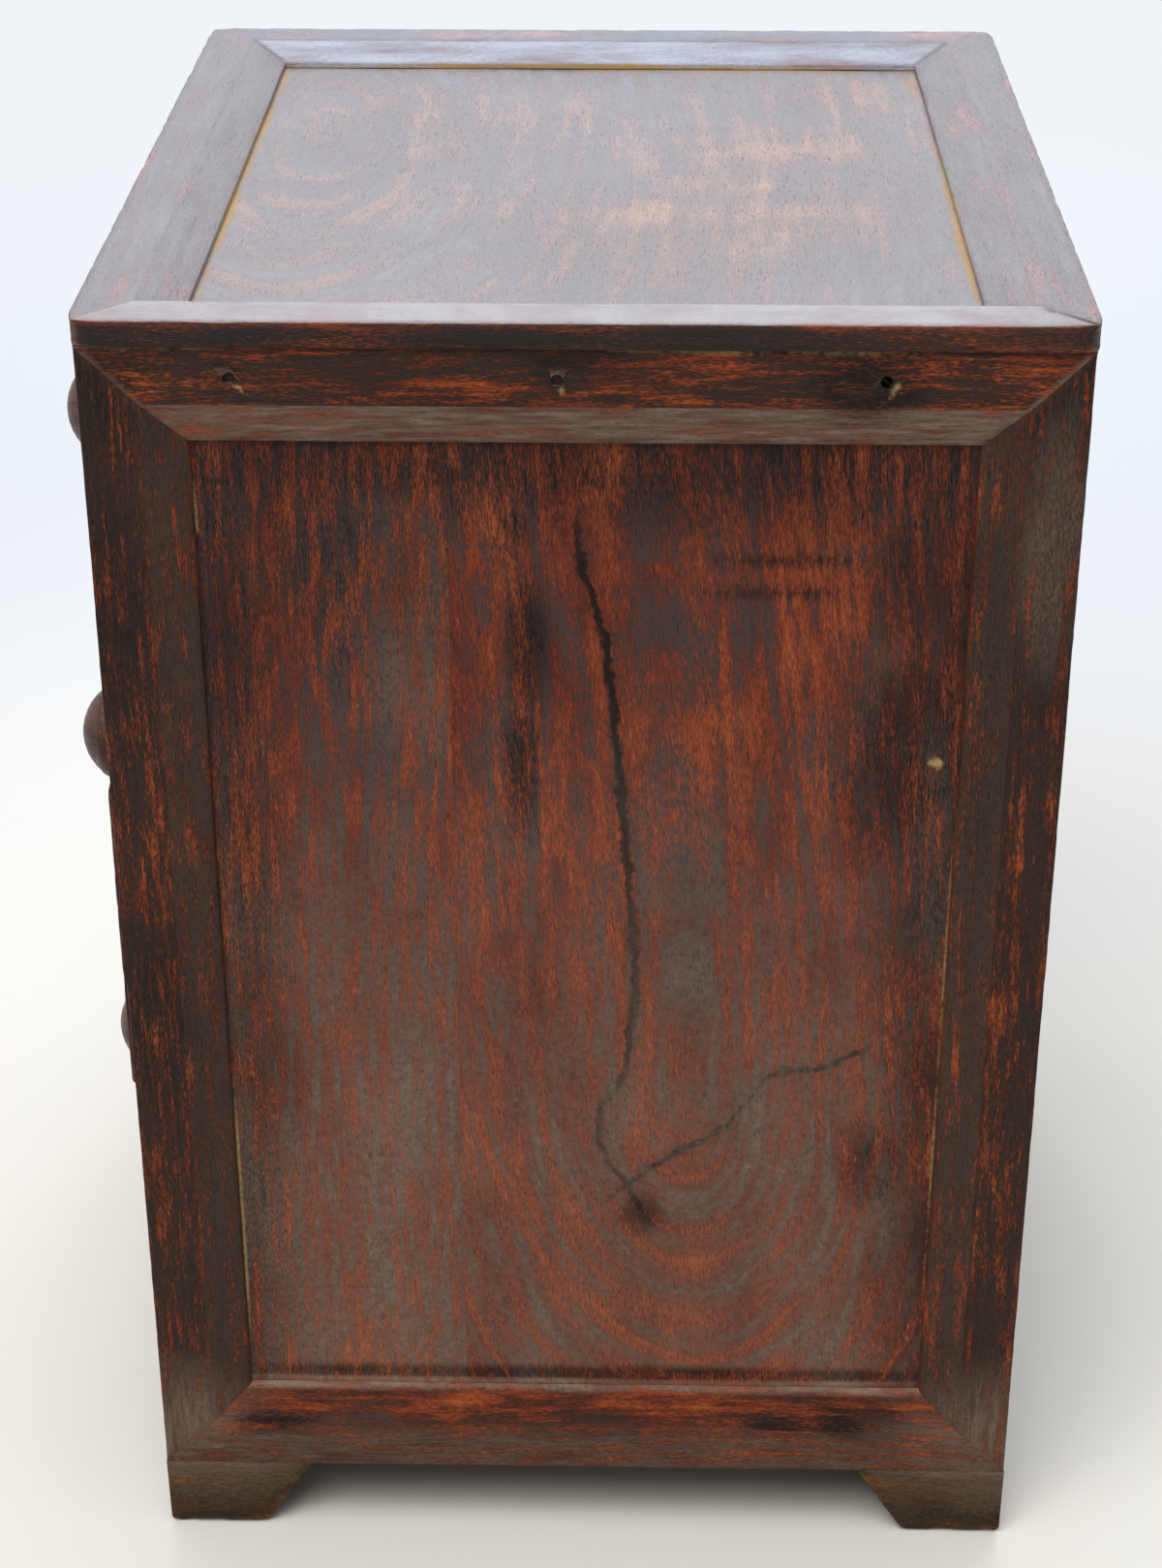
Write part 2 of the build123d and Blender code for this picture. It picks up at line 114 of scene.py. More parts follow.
def pick(wanted, kind="EDGE"):
    """Opens the piece in hand for editing, with the edges or faces selected that are wanted."""
    bpy.ops.object.mode_set(mode="EDIT")
    bpy.ops.mesh.select_mode(type=kind)
    bpy.ops.mesh.select_all(action="DESELECT")
    mesh = bpy.context.object.data
    net = bmesh.from_edit_mesh(mesh)
    for edge in net.edges if kind == "EDGE" else ():
        edge.select_set(bool(wanted(edge, edge.verts[1].co - edge.verts[0].co)))
    for face in net.faces if kind == "FACE" else ():
        face.select_set(bool(wanted(face, face.calc_center_median())))
    bmesh.update_edit_mesh(mesh)


def runs(way, axis):
    """Whether an edge runs along an axis."""
    return abs(way[axis]) > 0.99 * way.length


def ease(width, wanted, segments=2, wear=1.0):
    """Rounds the wanted arrises of the piece in hand, and keeps them as the places that wear."""
    pick(lambda edge, run: edge.calc_face_angle(0) > 0.2 and wanted(edge, run))
    bpy.ops.mesh.bevel(offset=width, segments=segments, profile=0.5, affect="EDGES")
    bpy.context.scene.tool_settings.vertex_group_weight = wear
    bpy.ops.object.vertex_group_assign()
    bpy.ops.object.mode_set(mode="OBJECT")


def divide(axis, spacing):
    """Cuts the long edges that run along an axis into even steps, so that the surface can be worn."""
    places = [vertex.co[axis] for vertex in bpy.context.object.data.vertices]
    longest = max(places) - min(places)
    pick(lambda edge, run: abs(run[axis]) > 0.98 * run.length and run.length > 0.3 * longest)
    bpy.ops.mesh.subdivide(number_cuts=max(1, round(longest / spacing)))
    bpy.ops.object.mode_set(mode="OBJECT")


def groove(corner, out, inward):
    """Ploughs the groove for a panel along the inner edge of a frame member."""
    for depth in (panel_face, panel_face + groove_width):
        saw(corner - out * depth, out, drop=False)
    pick(lambda face, centre: face.normal.dot(inward) > 0.99
         and panel_face < (corner - centre).dot(out) < panel_face + groove_width, "FACE")
    bpy.ops.mesh.extrude_region_move(TRANSFORM_OT_translate={"value": -inward * groove_depth})
    bpy.ops.object.mode_set(mode="OBJECT")


def take(piece):
    """Takes a piece in hand."""
    bpy.ops.object.select_all(action="DESELECT")
    piece.select_set(True)
    bpy.context.view_layer.objects.active = piece


def cut(piece, tool):
    """Takes the shape of a tool out of a piece."""
    take(piece)
    work = piece.modifiers.new("cut", "BOOLEAN")
    work.operation, work.solver, work.object = "DIFFERENCE", "EXACT", tool
    bpy.ops.object.modifier_apply(modifier=work.name)
    bpy.data.objects.remove(tool)


def bore(piece, at, way, radius, depth, sides=16):
    """Bores a round hole straight into a piece from a place on its face."""
    bpy.ops.object.select_all(action="DESELECT")
    bpy.ops.mesh.primitive_cylinder_add(vertices=sides, radius=radius, depth=2 * depth, location=at,
                                        rotation=way.to_track_quat("Z", "Y").to_euler())
    cut(piece, bpy.context.object)


def age(piece, seed, nick=0.4, hollow=0.15, upward_dust_and_sheen=0.0, flush=(), leaning_dust_and_sheen=(), rubs=(), soil_and_shadow_spots=(), dust_and_sheen_spots=(),
        silt=(), dents=()):
    """Years of use, in mm: hollows of the plane, nicked arrises, dents, and where rubs, soil with painted
    shade and dust with painted sheen show. Dust and painted sheen lie on what faces up, faces that look along
    a flush direction stay against their neighbour, and faces that lean some way take dust and painted
    reflection all over. Dents are centre, radius and depth, and spots are centre, radii and strength: a
    radius of 9 goes through the face, and one of 400 all along the piece."""
    mesh = piece.data
    arris = piece.vertex_groups["arris"].index
    outward = [Vector() for vertex in mesh.vertices]
    meets = [0] * len(mesh.vertices)
    held = {}
    for face in mesh.polygons:
        joint = [way for way in flush if face.normal.dot(way) > 0.99]
        for index in face.vertices:
            if joint:
                held.setdefault(index, []).append(joint[0])
            else:
                outward[index] += face.normal
                meets[index] += 1
    shift = Vector((31.7, 11.3, 7.9)) * seed
    spots = {"rubbed": rubs, "soil_and_shadow": soil_and_shadow_spots, "dust_and_sheen": dust_and_sheen_spots, "silted": silt}
    marks = {name: [] for name in spots}
    for vertex, normal in zip(mesh.vertices, outward):
        flat = normal.length > 0.9995 * meets[vertex.index]
        normal.normalize()
        for way in held.get(vertex.index, ()):
            normal -= way * normal.dot(way)
        place = vertex.co / mm
        edge = 0 if flat else max((g.weight for g in vertex.groups if g.group == arris), default=0)
        fine = noise.noise(place / nick_size + shift)
        broad = noise.noise(place / chip_size + shift * 2)
        wave = noise.noise(place / hollow_size + shift * 3)
        depth = hollow * (0.5 + 0.5 * wave)
        depth += nick * edge * (0.2 + 1.1 * max(fine, 0) + 3.0 * max(broad - 0.25, 0))
        for centre, radius, sink in dents:
            away = (place - Vector(centre)).length / radius
            depth += sink * max(0, 1 - away * away)
        found = {"rubbed": edge * (0.5 + 0.5 * broad), "dust_and_sheen": upward_dust_and_sheen * max(0, normal.z - 0.7) / 0.3}
        for way, strength in leaning_dust_and_sheen:
            if normal.dot(way) > 0.2:
                found["dust_and_sheen"] = max(strength, found["dust_and_sheen"])
        for name, listed in spots.items():
            most = found.get(name, 0.0)
            for centre, radii, strength in listed:
                away = Vector([(place[a] - centre[a]) / radii[a] for a in range(3)]).length
                most = max(most, strength * min(1, 1.7 * max(0, 1 - away)))
            marks[name].append(most)
        vertex.co -= normal * depth * mm
    for name, values in marks.items():
        mesh.attributes.new(name, "FLOAT", "POINT").data.foreach_set("value", values)
    mesh.update()


def settle(piece, body, slot, material, *nodes):
    """Puts a finished piece in the place of its CAD nodes."""
    bpy.ops.object.shade_smooth_by_angle(angle=smooth_angle)
    piece.data.materials.append(material)
    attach(piece, body)
    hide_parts(*nodes)


def tone(colour):
    """An sRGB hex colour as the linear colour that a shader takes."""
    parts = [int(colour[i:i + 2], 16) / 255 for i in (1, 3, 5)]
    return (*((c / 12.92 if c <= 0.04045 else ((c + 0.055) / 1.055) ** 2.4) for c in parts), 1)


def blank(name):
    """A new material with nothing in it, and its tree of nodes."""
    material = bpy.data.materials.new(name)
    material.use_nodes = True
    material.node_tree.nodes.clear()
    return material, material.node_tree


def node(tree, kind, links, stops=(), points=(), **settings):
    """Adds one node with its settings, colour stops or curve points, and gives its outputs."""
    made = tree.nodes.new("ShaderNode" + kind)
    for name, value in settings.items():
        setattr(made, name, value)
    for count, (at, colour) in enumerate(stops):
        band = made.color_ramp.elements
        stop = band[count] if count < 2 else band.new(at)
        stop.position, stop.color = at, tone(colour)
    if points:
        curve = made.mapping.curves[0].points
        curve[0].location, curve[1].location = points[0], points[-1]
        for point in points[1:-1]:
            curve.new(*point)
        made.mapping.update()
    for name, value in links.items():
        if isinstance(value, bpy.types.NodeSocket):
            tree.links.new(value, made.inputs[name])
        else:
            made.inputs[name].default_value = value
    return made.outputs


# Rosewood, sawn, planed and waxed a long time ago. The eye sees red and orange streaks that follow the growth
# rings, a dull grey-brown film between them, and over both a fine grain of short dashes and open pores.
# Arrises are rubbed bare, corners hold soil and painted shade, pale dust with painted sheen lies on what
# faces up and tan dust fills the joints.
# The dashes are really 0.2 mm wide, and are drawn at 0.4 mm so that they show.
turns = {0: (0, -math.pi / 2, 0), 1: (math.pi / 2, 0, 0), 2: (0, 0, 0)}
shade_stops = (0.15, 0.35, 0.50, 0.65, 0.88)
dark_shades = ("#1a0d09", "#371910", "#572514", "#7a3618", "#9c4f22")
film_shade = "#2d231d"
worn_shade = "#8c5530"
soil_and_shadow_shade = "#15110e"
dust_and_sheen_shade = "#8d7564"
silt_shade = "#a08257"
pore_depth = 0.15 * mm
# the rest in mm: how wide, how long and how far the rings sway, the grit, and how a vein wanders
sway_width = 60
sway_length = 200
sway_reach = Vector((16, 16, 0))
grit_size = 5 / 3
wander_size = 5
wander_reach = 6


def rosewood(name, board, along, seed, pith=(20, 70, 0), rise=(0.02, 0.02), ring=9, shades=dark_shades,
             bias=0.0, film=0.5, spread=(9, 30), gloss=0.5, shine=0.12, grey=film_shade, dust_and_sheen_colour=dust_and_sheen_shade,
             speckle=0.7, streaky=True, lean=0.0, veins=()):
    """Rosewood of one board: its grain runs along an axis, round a pith given in mm from the board's middle.
    The film lies in patches of the spread. Its dust and painted sheen are more or less speckled, and lie
    between the streaks or all over. Veins are black lines, given as the axis they follow, the axis across,
    and points in mm."""
    low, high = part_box(board)
    turn = Euler(turns[along])
    middle = turn.to_matrix() @ ((low + high) / 2 / mm)
    material, tree = blank(name)
    place = node(tree, "TexCoord", {})["Object"]
    wood = node(tree, "Mapping", {"Vector": place, "Location": -middle, "Rotation": turn,
                                  "Scale": (1 / mm, 1 / mm, 1 / mm)})["Vector"]
    length = node(tree, "SeparateXYZ", {0: wood})[2]
    slant = node(tree, "CombineXYZ", {1: length})[0]
    wood = node(tree, "VectorMath", {0: slant, 1: (0, lean, 0), 2: wood}, operation="MULTIPLY_ADD")[0]
    moved = node(tree, "VectorMath", {0: wood, 1: Vector((137, 59, 311)) * seed}, operation="ADD")[0]

    # distance from a leaning pith, swayed a little, so that flat faces show arches
    sway = node(tree, "VectorMath", {0: moved, 1: (1 / sway_width, 1 / sway_width, 1 / sway_length)},
                operation="MULTIPLY")[0]
    sway = node(tree, "TexNoise", {"Vector": sway, "Scale": 1, "Detail": 1.5, "Roughness": 0.5})["Color"]
    bent = node(tree, "VectorMath", {0: sway, 1: sway_reach, 2: wood}, operation="MULTIPLY_ADD")[0]
    bent = node(tree, "VectorMath", {0: bent, 1: Vector(pith) + sway_reach / 2}, operation="SUBTRACT")[0]
    parts = node(tree, "SeparateXYZ", {0: bent})
    below = node(tree, "Math", {0: parts[2], 1: 0.0}, operation="MINIMUM")[0]
    above = node(tree, "Math", {0: parts[2], 1: 0.0}, operation="MAXIMUM")[0]
    below = node(tree, "Math", {0: below, 1: rise[0]}, operation="MULTIPLY")[0]
    climb = node(tree, "Math", {0: above, 1: rise[1], 2: below}, operation="MULTIPLY_ADD")[0]
    bent = node(tree, "CombineXYZ", {0: parts[0], 1: parts[1], 2: climb})[0]
    radius = node(tree, "VectorMath", {0: bent}, operation="LENGTH")["Value"]
    rings = node(tree, "CombineXYZ", {0: radius, 1: length, 2: seed * 7.3})[0]

    # bands and streaks lie along the rings, dashes and pores along the board, with widths and lengths in mm
    layers = []
    for line, width, reach, detail in (
            (rings, ring, 150, 2), (rings, 0.5 * ring, 5 * ring, 4),
            (moved, 0.4, 1.8, 2), (moved, 0.5, 6, 1)):
        size = (1 / width, 1 / reach, 1) if line is rings else (1 / width, 1 / width, 1 / reach)
        layer = node(tree, "VectorMath", {0: line, 1: size}, operation="MULTIPLY")[0]
        layer = node(tree, "TexNoise", {"Vector": layer, "Scale": 1, "Detail": detail, "Roughness": 0.62})[0]
        layers.append(layer)
    bands, streak, grain, pore = layers
    pore = node(tree, "MapRange", {0: pore, 1: 0.6, 2: 0.76})[0]
    patch = node(tree, "VectorMath", {0: moved, 1: (1 / spread[0], 1 / spread[0], 1 / spread[1])},
                 operation="MULTIPLY")[0]
    patch = node(tree, "TexNoise", {"Vector": patch, "Scale": 1, "Detail": 4, "Roughness": 0.6})
    patch, other_patch = patch[0], node(tree, "SeparateXYZ", {0: patch[1]})[1]
    grit = node(tree, "TexNoise", {"Vector": moved, "Scale": 1 / grit_size, "Detail": 3, "Roughness": 0.7})[0]

    # where rubbing has gone through the film, and further, into the wood
    lumps = node(tree, "Math", {0: patch, 1: grit}, operation="ADD")[0]
    lumps = node(tree, "MapRange", {0: lumps, 1: 0.75, 2: 1.25, 3: 0.6, 4: 2.4})[0]
    rubbed = node(tree, "Attribute", {}, attribute_name="rubbed")["Fac"]
    rubbed = node(tree, "Math", {0: rubbed, 1: lumps}, operation="MULTIPLY")[0]
    bare = node(tree, "Math", {0: rubbed, 1: 1.3}, operation="MULTIPLY", use_clamp=True)[0]
    worn = node(tree, "MapRange", {0: rubbed, 1: 0.7, 2: 1.5})[0]

    # the wood is as light as its layers add up to, and the film is thickest where they are dark
    shade = node(tree, "Math", {0: bands, 1: 0.4, 2: bias - 0.65}, operation="MULTIPLY_ADD")[0]
    for layer, light in ((patch, 0.8), (streak, 0.7), (grain, 0.4)):
        shade = node(tree, "Math", {0: layer, 1: light, 2: shade}, operation="MULTIPLY_ADD")[0]
    dull = node(tree, "Math", {0: bands, 1: -0.6, 2: film + 1.3}, operation="MULTIPLY_ADD")[0]
    for layer, cover in ((other_patch, 0.9), (streak, -1.7), (grain, -1.2)):
        dull = node(tree, "Math", {0: layer, 1: cover, 2: dull}, operation="MULTIPLY_ADD")[0]
    dull = node(tree, "MapRange", {0: dull, 1: 0.25, 2: 0.75, 3: 0.0, 4: 0.9},
                interpolation_type="SMOOTHSTEP")[0]
    clean = node(tree, "Math", {0: 1.0, 1: bare}, operation="SUBTRACT")[0]
    dull = node(tree, "Math", {0: dull, 1: clean}, operation="MULTIPLY")[0]
    colour = node(tree, "ValToRGB", {0: shade}, list(zip(shade_stops, shades)))[0]
    colour = node(tree, "Mix", {0: dull, 6: colour, 7: tone(grey)}, data_type="RGBA")[2]
    colour = node(tree, "Mix", {0: worn, 6: colour, 7: tone(worn_shade)}, data_type="RGBA")[2]
    level = node(tree, "Math", {0: grain, 1: 1.3, 2: 0.35}, operation="MULTIPLY_ADD")[0]
    colour = node(tree, "VectorMath", {0: colour, "Scale": level}, operation="SCALE")[0]

    # pores and veins are dark, a vein with a faint halo and with ends that fade
    dark = node(tree, "Math", {0: pore, 1: 0.5}, operation="MULTIPLY")[0]
    millimetres = node(tree, "VectorMath", {0: place, "Scale": 1 / mm}, operation="SCALE")[0]
    for run_axis, cross_axis, points in veins:
        start, end = points[0][0], points[-1][0]
        least, most = min(p[1] for p in points), max(p[1] for p in points)
        spot = node(tree, "SeparateXYZ", {0: millimetres})
        share = node(tree, "MapRange", {0: spot[run_axis], 1: start, 2: end})[0]
        path = node(tree, "FloatCurve", {1: share}, points=[
            ((a - start) / (end - start), (b - least) / (most - least)) for a, b in points])[0]
        path = node(tree, "MapRange", {0: path, 3: least, 4: most})[0]
        wander = node(tree, "TexNoise", {"Vector": millimetres, "Scale": 1 / wander_size, "Detail": 3,
                                         "Roughness": 0.7})[0]
        path = node(tree, "Math", {0: wander, 1: wander_reach, 2: path}, operation="MULTIPLY_ADD")[0]
        path = node(tree, "Math", {0: path, 1: wander_reach / 2}, operation="SUBTRACT")[0]
        gap = node(tree, "Math", {0: spot[cross_axis], 1: path}, operation="SUBTRACT")[0]
        gap = node(tree, "Math", {0: gap}, operation="ABSOLUTE")[0]
        gap = node(tree, "Math", {0: grit, 1: -1.6, 2: gap}, operation="MULTIPLY_ADD")[0]
        line = node(tree, "MapRange", {0: gap, 1: -0.1, 2: 0.9, 3: 0.95, 4: 0.0})[0]
        halo = node(tree, "MapRange", {0: gap, 1: 0.0, 2: 5.0, 3: 0.25, 4: 0.0})[0]
        line = node(tree, "Math", {0: line, 1: halo}, operation="MAXIMUM")[0]
        fade = node(tree, "Math", {0: share, 1: 0.5}, operation="SUBTRACT")[0]
        fade = node(tree, "Math", {0: fade}, operation="ABSOLUTE")[0]
        fade = node(tree, "MapRange", {0: fade, 1: 0.42, 2: 0.5, 3: 1.0, 4: 0.0})[0]
        line = node(tree, "Math", {0: line, 1: fade}, operation="MULTIPLY")[0]
        dark = node(tree, "Math", {0: dark, 1: line}, operation="MAXIMUM")[0]

    # soil and painted shade lie in the dark grain, dust and painted sheen on what is dull, clean of rubbing
    # and of soil, and silt on top of all
    soil_and_shadow = node(tree, "Attribute", {}, attribute_name="soil_and_shadow")["Fac"]
    uneven = node(tree, "Math", {0: streak, 1: grain}, operation="ADD")[0]
    uneven = node(tree, "MapRange", {0: uneven, 1: 0.75, 2: 1.25, 3: 1.5, 4: 0.4})[0]
    soil_and_shadow = node(tree, "Math", {0: soil_and_shadow, 1: uneven}, operation="MULTIPLY", use_clamp=True)[0]
    dark = node(tree, "Math", {0: soil_and_shadow, 1: 0.9, 2: dark}, operation="MULTIPLY_ADD", use_clamp=True)[0]
    colour = node(tree, "Mix", {0: dark, 6: colour, 7: tone(soil_and_shadow_shade)}, data_type="RGBA")[2]
    dust_and_sheen = node(tree, "Attribute", {}, attribute_name="dust_and_sheen")["Fac"]
    between = node(tree, "Math", {0: 1.0, 1: streak}, operation="SUBTRACT")[0] if streaky else grit
    veil = node(tree, "Math", {0: grain, 1: between}, operation="ADD")[0]
    veil = node(tree, "MapRange", {0: veil, 1: 0.7, 2: 1.3, 3: 1 - speckle, 4: 1 + speckle})[0]
    dust_and_sheen = node(tree, "Math", {0: dust_and_sheen, 1: veil}, operation="MULTIPLY", use_clamp=True)[0]
    kept = node(tree, "Math", {0: dull, 1: speckle, 2: 1 - 0.9 * speckle}, operation="MULTIPLY_ADD")[0]
    kept = node(tree, "Math", {0: bare, 1: -0.4, 2: kept}, operation="MULTIPLY_ADD")[0]
    kept = node(tree, "Math", {0: soil_and_shadow, 1: -0.8, 2: kept}, operation="MULTIPLY_ADD", use_clamp=True)[0]
    dust_and_sheen = node(tree, "Math", {0: dust_and_sheen, 1: kept}, operation="MULTIPLY")[0]
    colour = node(tree, "Mix", {0: dust_and_sheen, 6: colour, 7: tone(dust_and_sheen_colour)}, data_type="RGBA")[2]
    silted = node(tree, "Attribute", {}, attribute_name="silted")["Fac"]
    silted = node(tree, "Math", {0: silted, 1: lumps}, operation="MULTIPLY")[0]
    silted = node(tree, "MapRange", {0: silted, 1: 0.35, 2: 1.1})[0]
    colour = node(tree, "Mix", {0: silted, 6: colour, 7: tone(silt_shade)}, data_type="RGBA")[2]

    # film, dust, silt and pores are rougher than waxed wood, and the pores are sunk
    rough = node(tree, "Math", {0: dull, 1: 0.1, 2: gloss - 0.05}, operation="MULTIPLY_ADD")[0]
    for layer, added in ((dust_and_sheen, 0.3), (silted, 0.3), (pore, 0.2)):
        rough = node(tree, "Math", {0: layer, 1: added, 2: rough}, operation="MULTIPLY_ADD",
                     use_clamp=True)[0]
    relief = node(tree, "Math", {0: pore, 1: -0.7, 2: grain}, operation="MULTIPLY_ADD")[0]
    relief = node(tree, "Math", {0: grit, 1: 0.5, 2: relief}, operation="MULTIPLY_ADD")[0]
    bump = node(tree, "Bump", {"Height": relief, "Strength": 0.6, "Distance": pore_depth})[0]
    shader = node(tree, "BsdfPrincipled", {
        "Base Color": colour, "Roughness": rough, "Normal": bump, "IOR": 1.5, "Specular IOR Level": shine})[0]
    node(tree, "OutputMaterial", {"Surface": shader})
    return material


# the way in to the panel, the ways to both ends, the axis that the member runs along, how much lighter its
# wood is, its film, and the dust on its slope; on the top rail, whose slope faces down, that is a painted
# reflection of the floor
side_members = {
    "front_stile": (Y, (Z, -Z), 2, -0.02, 0.68, 0.07),
    "back_stile": (-Y, (Z, -Z), 2, -0.02, 0.7, 0.07),
    "top_rail": (-Z, (Y, -Y), 1, 0.0, 0.6, 0.6),
    "bottom_rail": (Z, (Y, -Y), 1, 0.05, 0.55, 0.0),
}
seed = 0
for side, out in (("right", X), ("left", -X)):
    for part, (inward, ends, run_axis, bias, film, slope_dust_and_sheen) in side_members.items():
        seed += 1
        name = f"{side}_{part}"
        low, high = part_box(name)
        piece = block(name + "_wood", low, high)
        corner = far_corner(low, high, out - inward)
        saw(corner + inward * flat_width, out * slope_width + inward * slope_depth)
        score(corner, inward, face_lines)
        score(corner, -out, edge_lines)
        groove(corner, out, inward)
        ease(slope_arris, lambda edge, run: runs(run, run_axis) and edge.calc_face_angle() < 0.5, wear=0.7)
        for width, wear, wanted in (
                (worn_arris if run_axis == 2 else joint_arris, 1.0, lambda reach: reach < hair),
                (worn_arris, 0.2 if part == "bottom_rail" else 1.0, lambda reach: reach > hair)):
            ease(width, lambda edge, run: runs(run, run_axis) and edge.calc_face_angle() > 0.8
                 and wanted((edge.verts[0].co - corner).dot(inward))
                 and not panel_face - mm / 4 < (corner - edge.verts[0].co).dot(out) < groove_reach, wear=wear)
        for end in ends:
            saw(far_corner(low, high, end - inward), inward + end)
        ease(mitre_arris, lambda edge, run: abs(run[run_axis]) < 0.9 * run.length
             and any(face.normal.dot(out) > 0.5 for face in edge.link_faces), segments=1, wear=0.1)
        divide(run_axis, fine_wear_step if part == "top_rail" else wear_step)
        face_x = side_face * out.x
        rubs, soil_and_shadow_spots, dust_and_sheen_spots, silt, dents = [], [], [], [], []
        if run_axis == 2:
            edge_y = corner.y / mm
            soil_and_shadow_spots += [((face_x, edge_y, 24), (20, 44, 44), 0.2), ((face_x, edge_y, 375), (20, 40, 40), 0.6)]
            dust_and_sheen_spots += [((face_x, edge_y, 24), (20, 44, 44), 0.5)]
        if part == "top_rail":
            for y in side_nails:
                bore(piece, Vector((face_x, y, nail_height)) * mm, out, nail_hole, nail_sink)
                soil_and_shadow_spots += [((face_x, y - 1, nail_height + 1), (9, 6, 5), 0.6)]
                dust_and_sheen_spots += [((face_x, y - 3, nail_height + 1), (9, 4, 2), 0.4)]
                silt += [((face_x, y + 1.6, nail_height - 1.8), (9, 1.6, 1.2), 0.6)]
                dents += [((face_x, y, nail_height), 4, 0.45)]
            soil_and_shadow_spots += [((face_x, 14, 372), (9, 16, 6), 0.5), ((face_x, -100, 366), (9, 14, 14), 0.5)]
            soil_and_shadow_spots += [((face_x, 86, 366), (9, 18, 12), 0.9)]
            silt += [((face_x, 60, 375), (9, 60, 0.9), 0.5), ((face_x, -90, 375), (9, 30, 0.9), 0.4)]
        if part == "bottom_rail":
            if side == "right":
                soil_and_shadow_spots += [((138, 92, 41.5), (9, 13, 5), 1.3), ((138, 76, 41), (9, 15, 3.6), 1.2)]
                soil_and_shadow_spots += [((138, 104, 43), (9, 9, 3), 1.1), ((138, -76, 40), (9, 16, 4), 1.0)]
            soil_and_shadow_spots += [((face_x, 16, 27), (9, 400, 14), 0.4), ((face_x, -105, 34), (20, 30, 20), 0.2)]
            soil_and_shadow_spots += [((face_x, 138, 34), (20, 30, 20), 0.2)]
            dust_and_sheen_spots += [((face_x, y, 24), (20, 44, 44), 0.5) for y in (-105, 138)]
            dust_and_sheen_spots += [((135 * out.x, 16, 50.8), (3, 400, 2.6), 1.0)]
            rubs += [((137.5 * out.x, 14, 45), (9, 160, 9), 0.45)]
            dust_and_sheen_spots += [((137 * out.x, -49, 42), (9, 24, 4), 0.3), ((face_x, 16, 29), (9, 400, 12), 0.4)]
        if part == "back_stile":
            soil_and_shadow_spots += [((face_x, 138, 330), (9, 14, 70), 0.6), ((137 * out.x, 121, 280), (9, 9, 110), 0.3)]
            dust_and_sheen_spots += [((face_x, 136, 325), (9, 12, 46), 0.4)]
        if part == "front_stile":
            soil_and_shadow_spots += [((face_x, -104, 300), (9, 14, 50), 0.5), ((face_x, -100, 180), (9, 14, 40), 0.5)]
        age(piece, 100 + out.x, upward_dust_and_sheen=1.0, flush=[(inward + end).normalized() for end in ends],
            leaning_dust_and_sheen=[(inward, slope_dust_and_sheen)], rubs=rubs, soil_and_shadow_spots=soil_and_shadow_spots, dust_and_sheen_spots=dust_and_sheen_spots, silt=silt, dents=dents)
        wood = rosewood("rosewood_" + name, name, run_axis, seed, pith=(20, 70 + 9 * seed, 0), ring=3,
                        bias=bias, film=film)
        settle(piece, "carcass", "frame_wood", wood, name)


# Side panels
# Two upright boards fill each side frame, a narrow one at the front and a wide one behind it. They are
# planed thin, slid into the groove of the frame and butted together, and the seam has opened a little.
# The wide board was cut near the heart of the tree: its rings make arches, and on the right a black vein
# wanders down it.

seam = -18.25 * mm
seam_arris = 0.05 * mm
panel_shades = ("#2c130e", "#4a1f15", "#682d1b", "#823d22", "#a0562c")
panel_grey = "#423936"
# the rest in mm: the panel's face, its edges at the frame, how far in from these dirt and painted shade
# reach, the pith, rise and ring width of each board, and the long vein and its branch
panel_out = 134
panel_edges = {"front": -81.95, "back": 115.05, "bottom": 50.5, "top": 348.5}
panel_gaps = (0.4, 1.2, 2.4, 3.6, 5)
panel_piths = {"front": ((30, -80, 0), (0.02, 0.02), 3.5), "back": ((-8, -11, -48), (0.5, 0.05), 5.5)}
black_veins = [
    (2, 1, [(104, 36), (122, 29.3), (133.6, 22.4), (143.5, 20.5), (156.7, 26.4), (175.9, 29.5), (194.8, 30.2),
            (225.3, 28.2), (254.7, 25.9), (285.9, 22.8), (305.1, 18.7), (317.3, 15.8), (334, 14)]),
    (1, 2, [(20, 114), (27, 121), (36, 129), (42.9, 133.9), (53.8, 140.7), (62, 151), (69.5, 160.5),
            (80, 162), (90.8, 167.1), (98, 170)]),
]
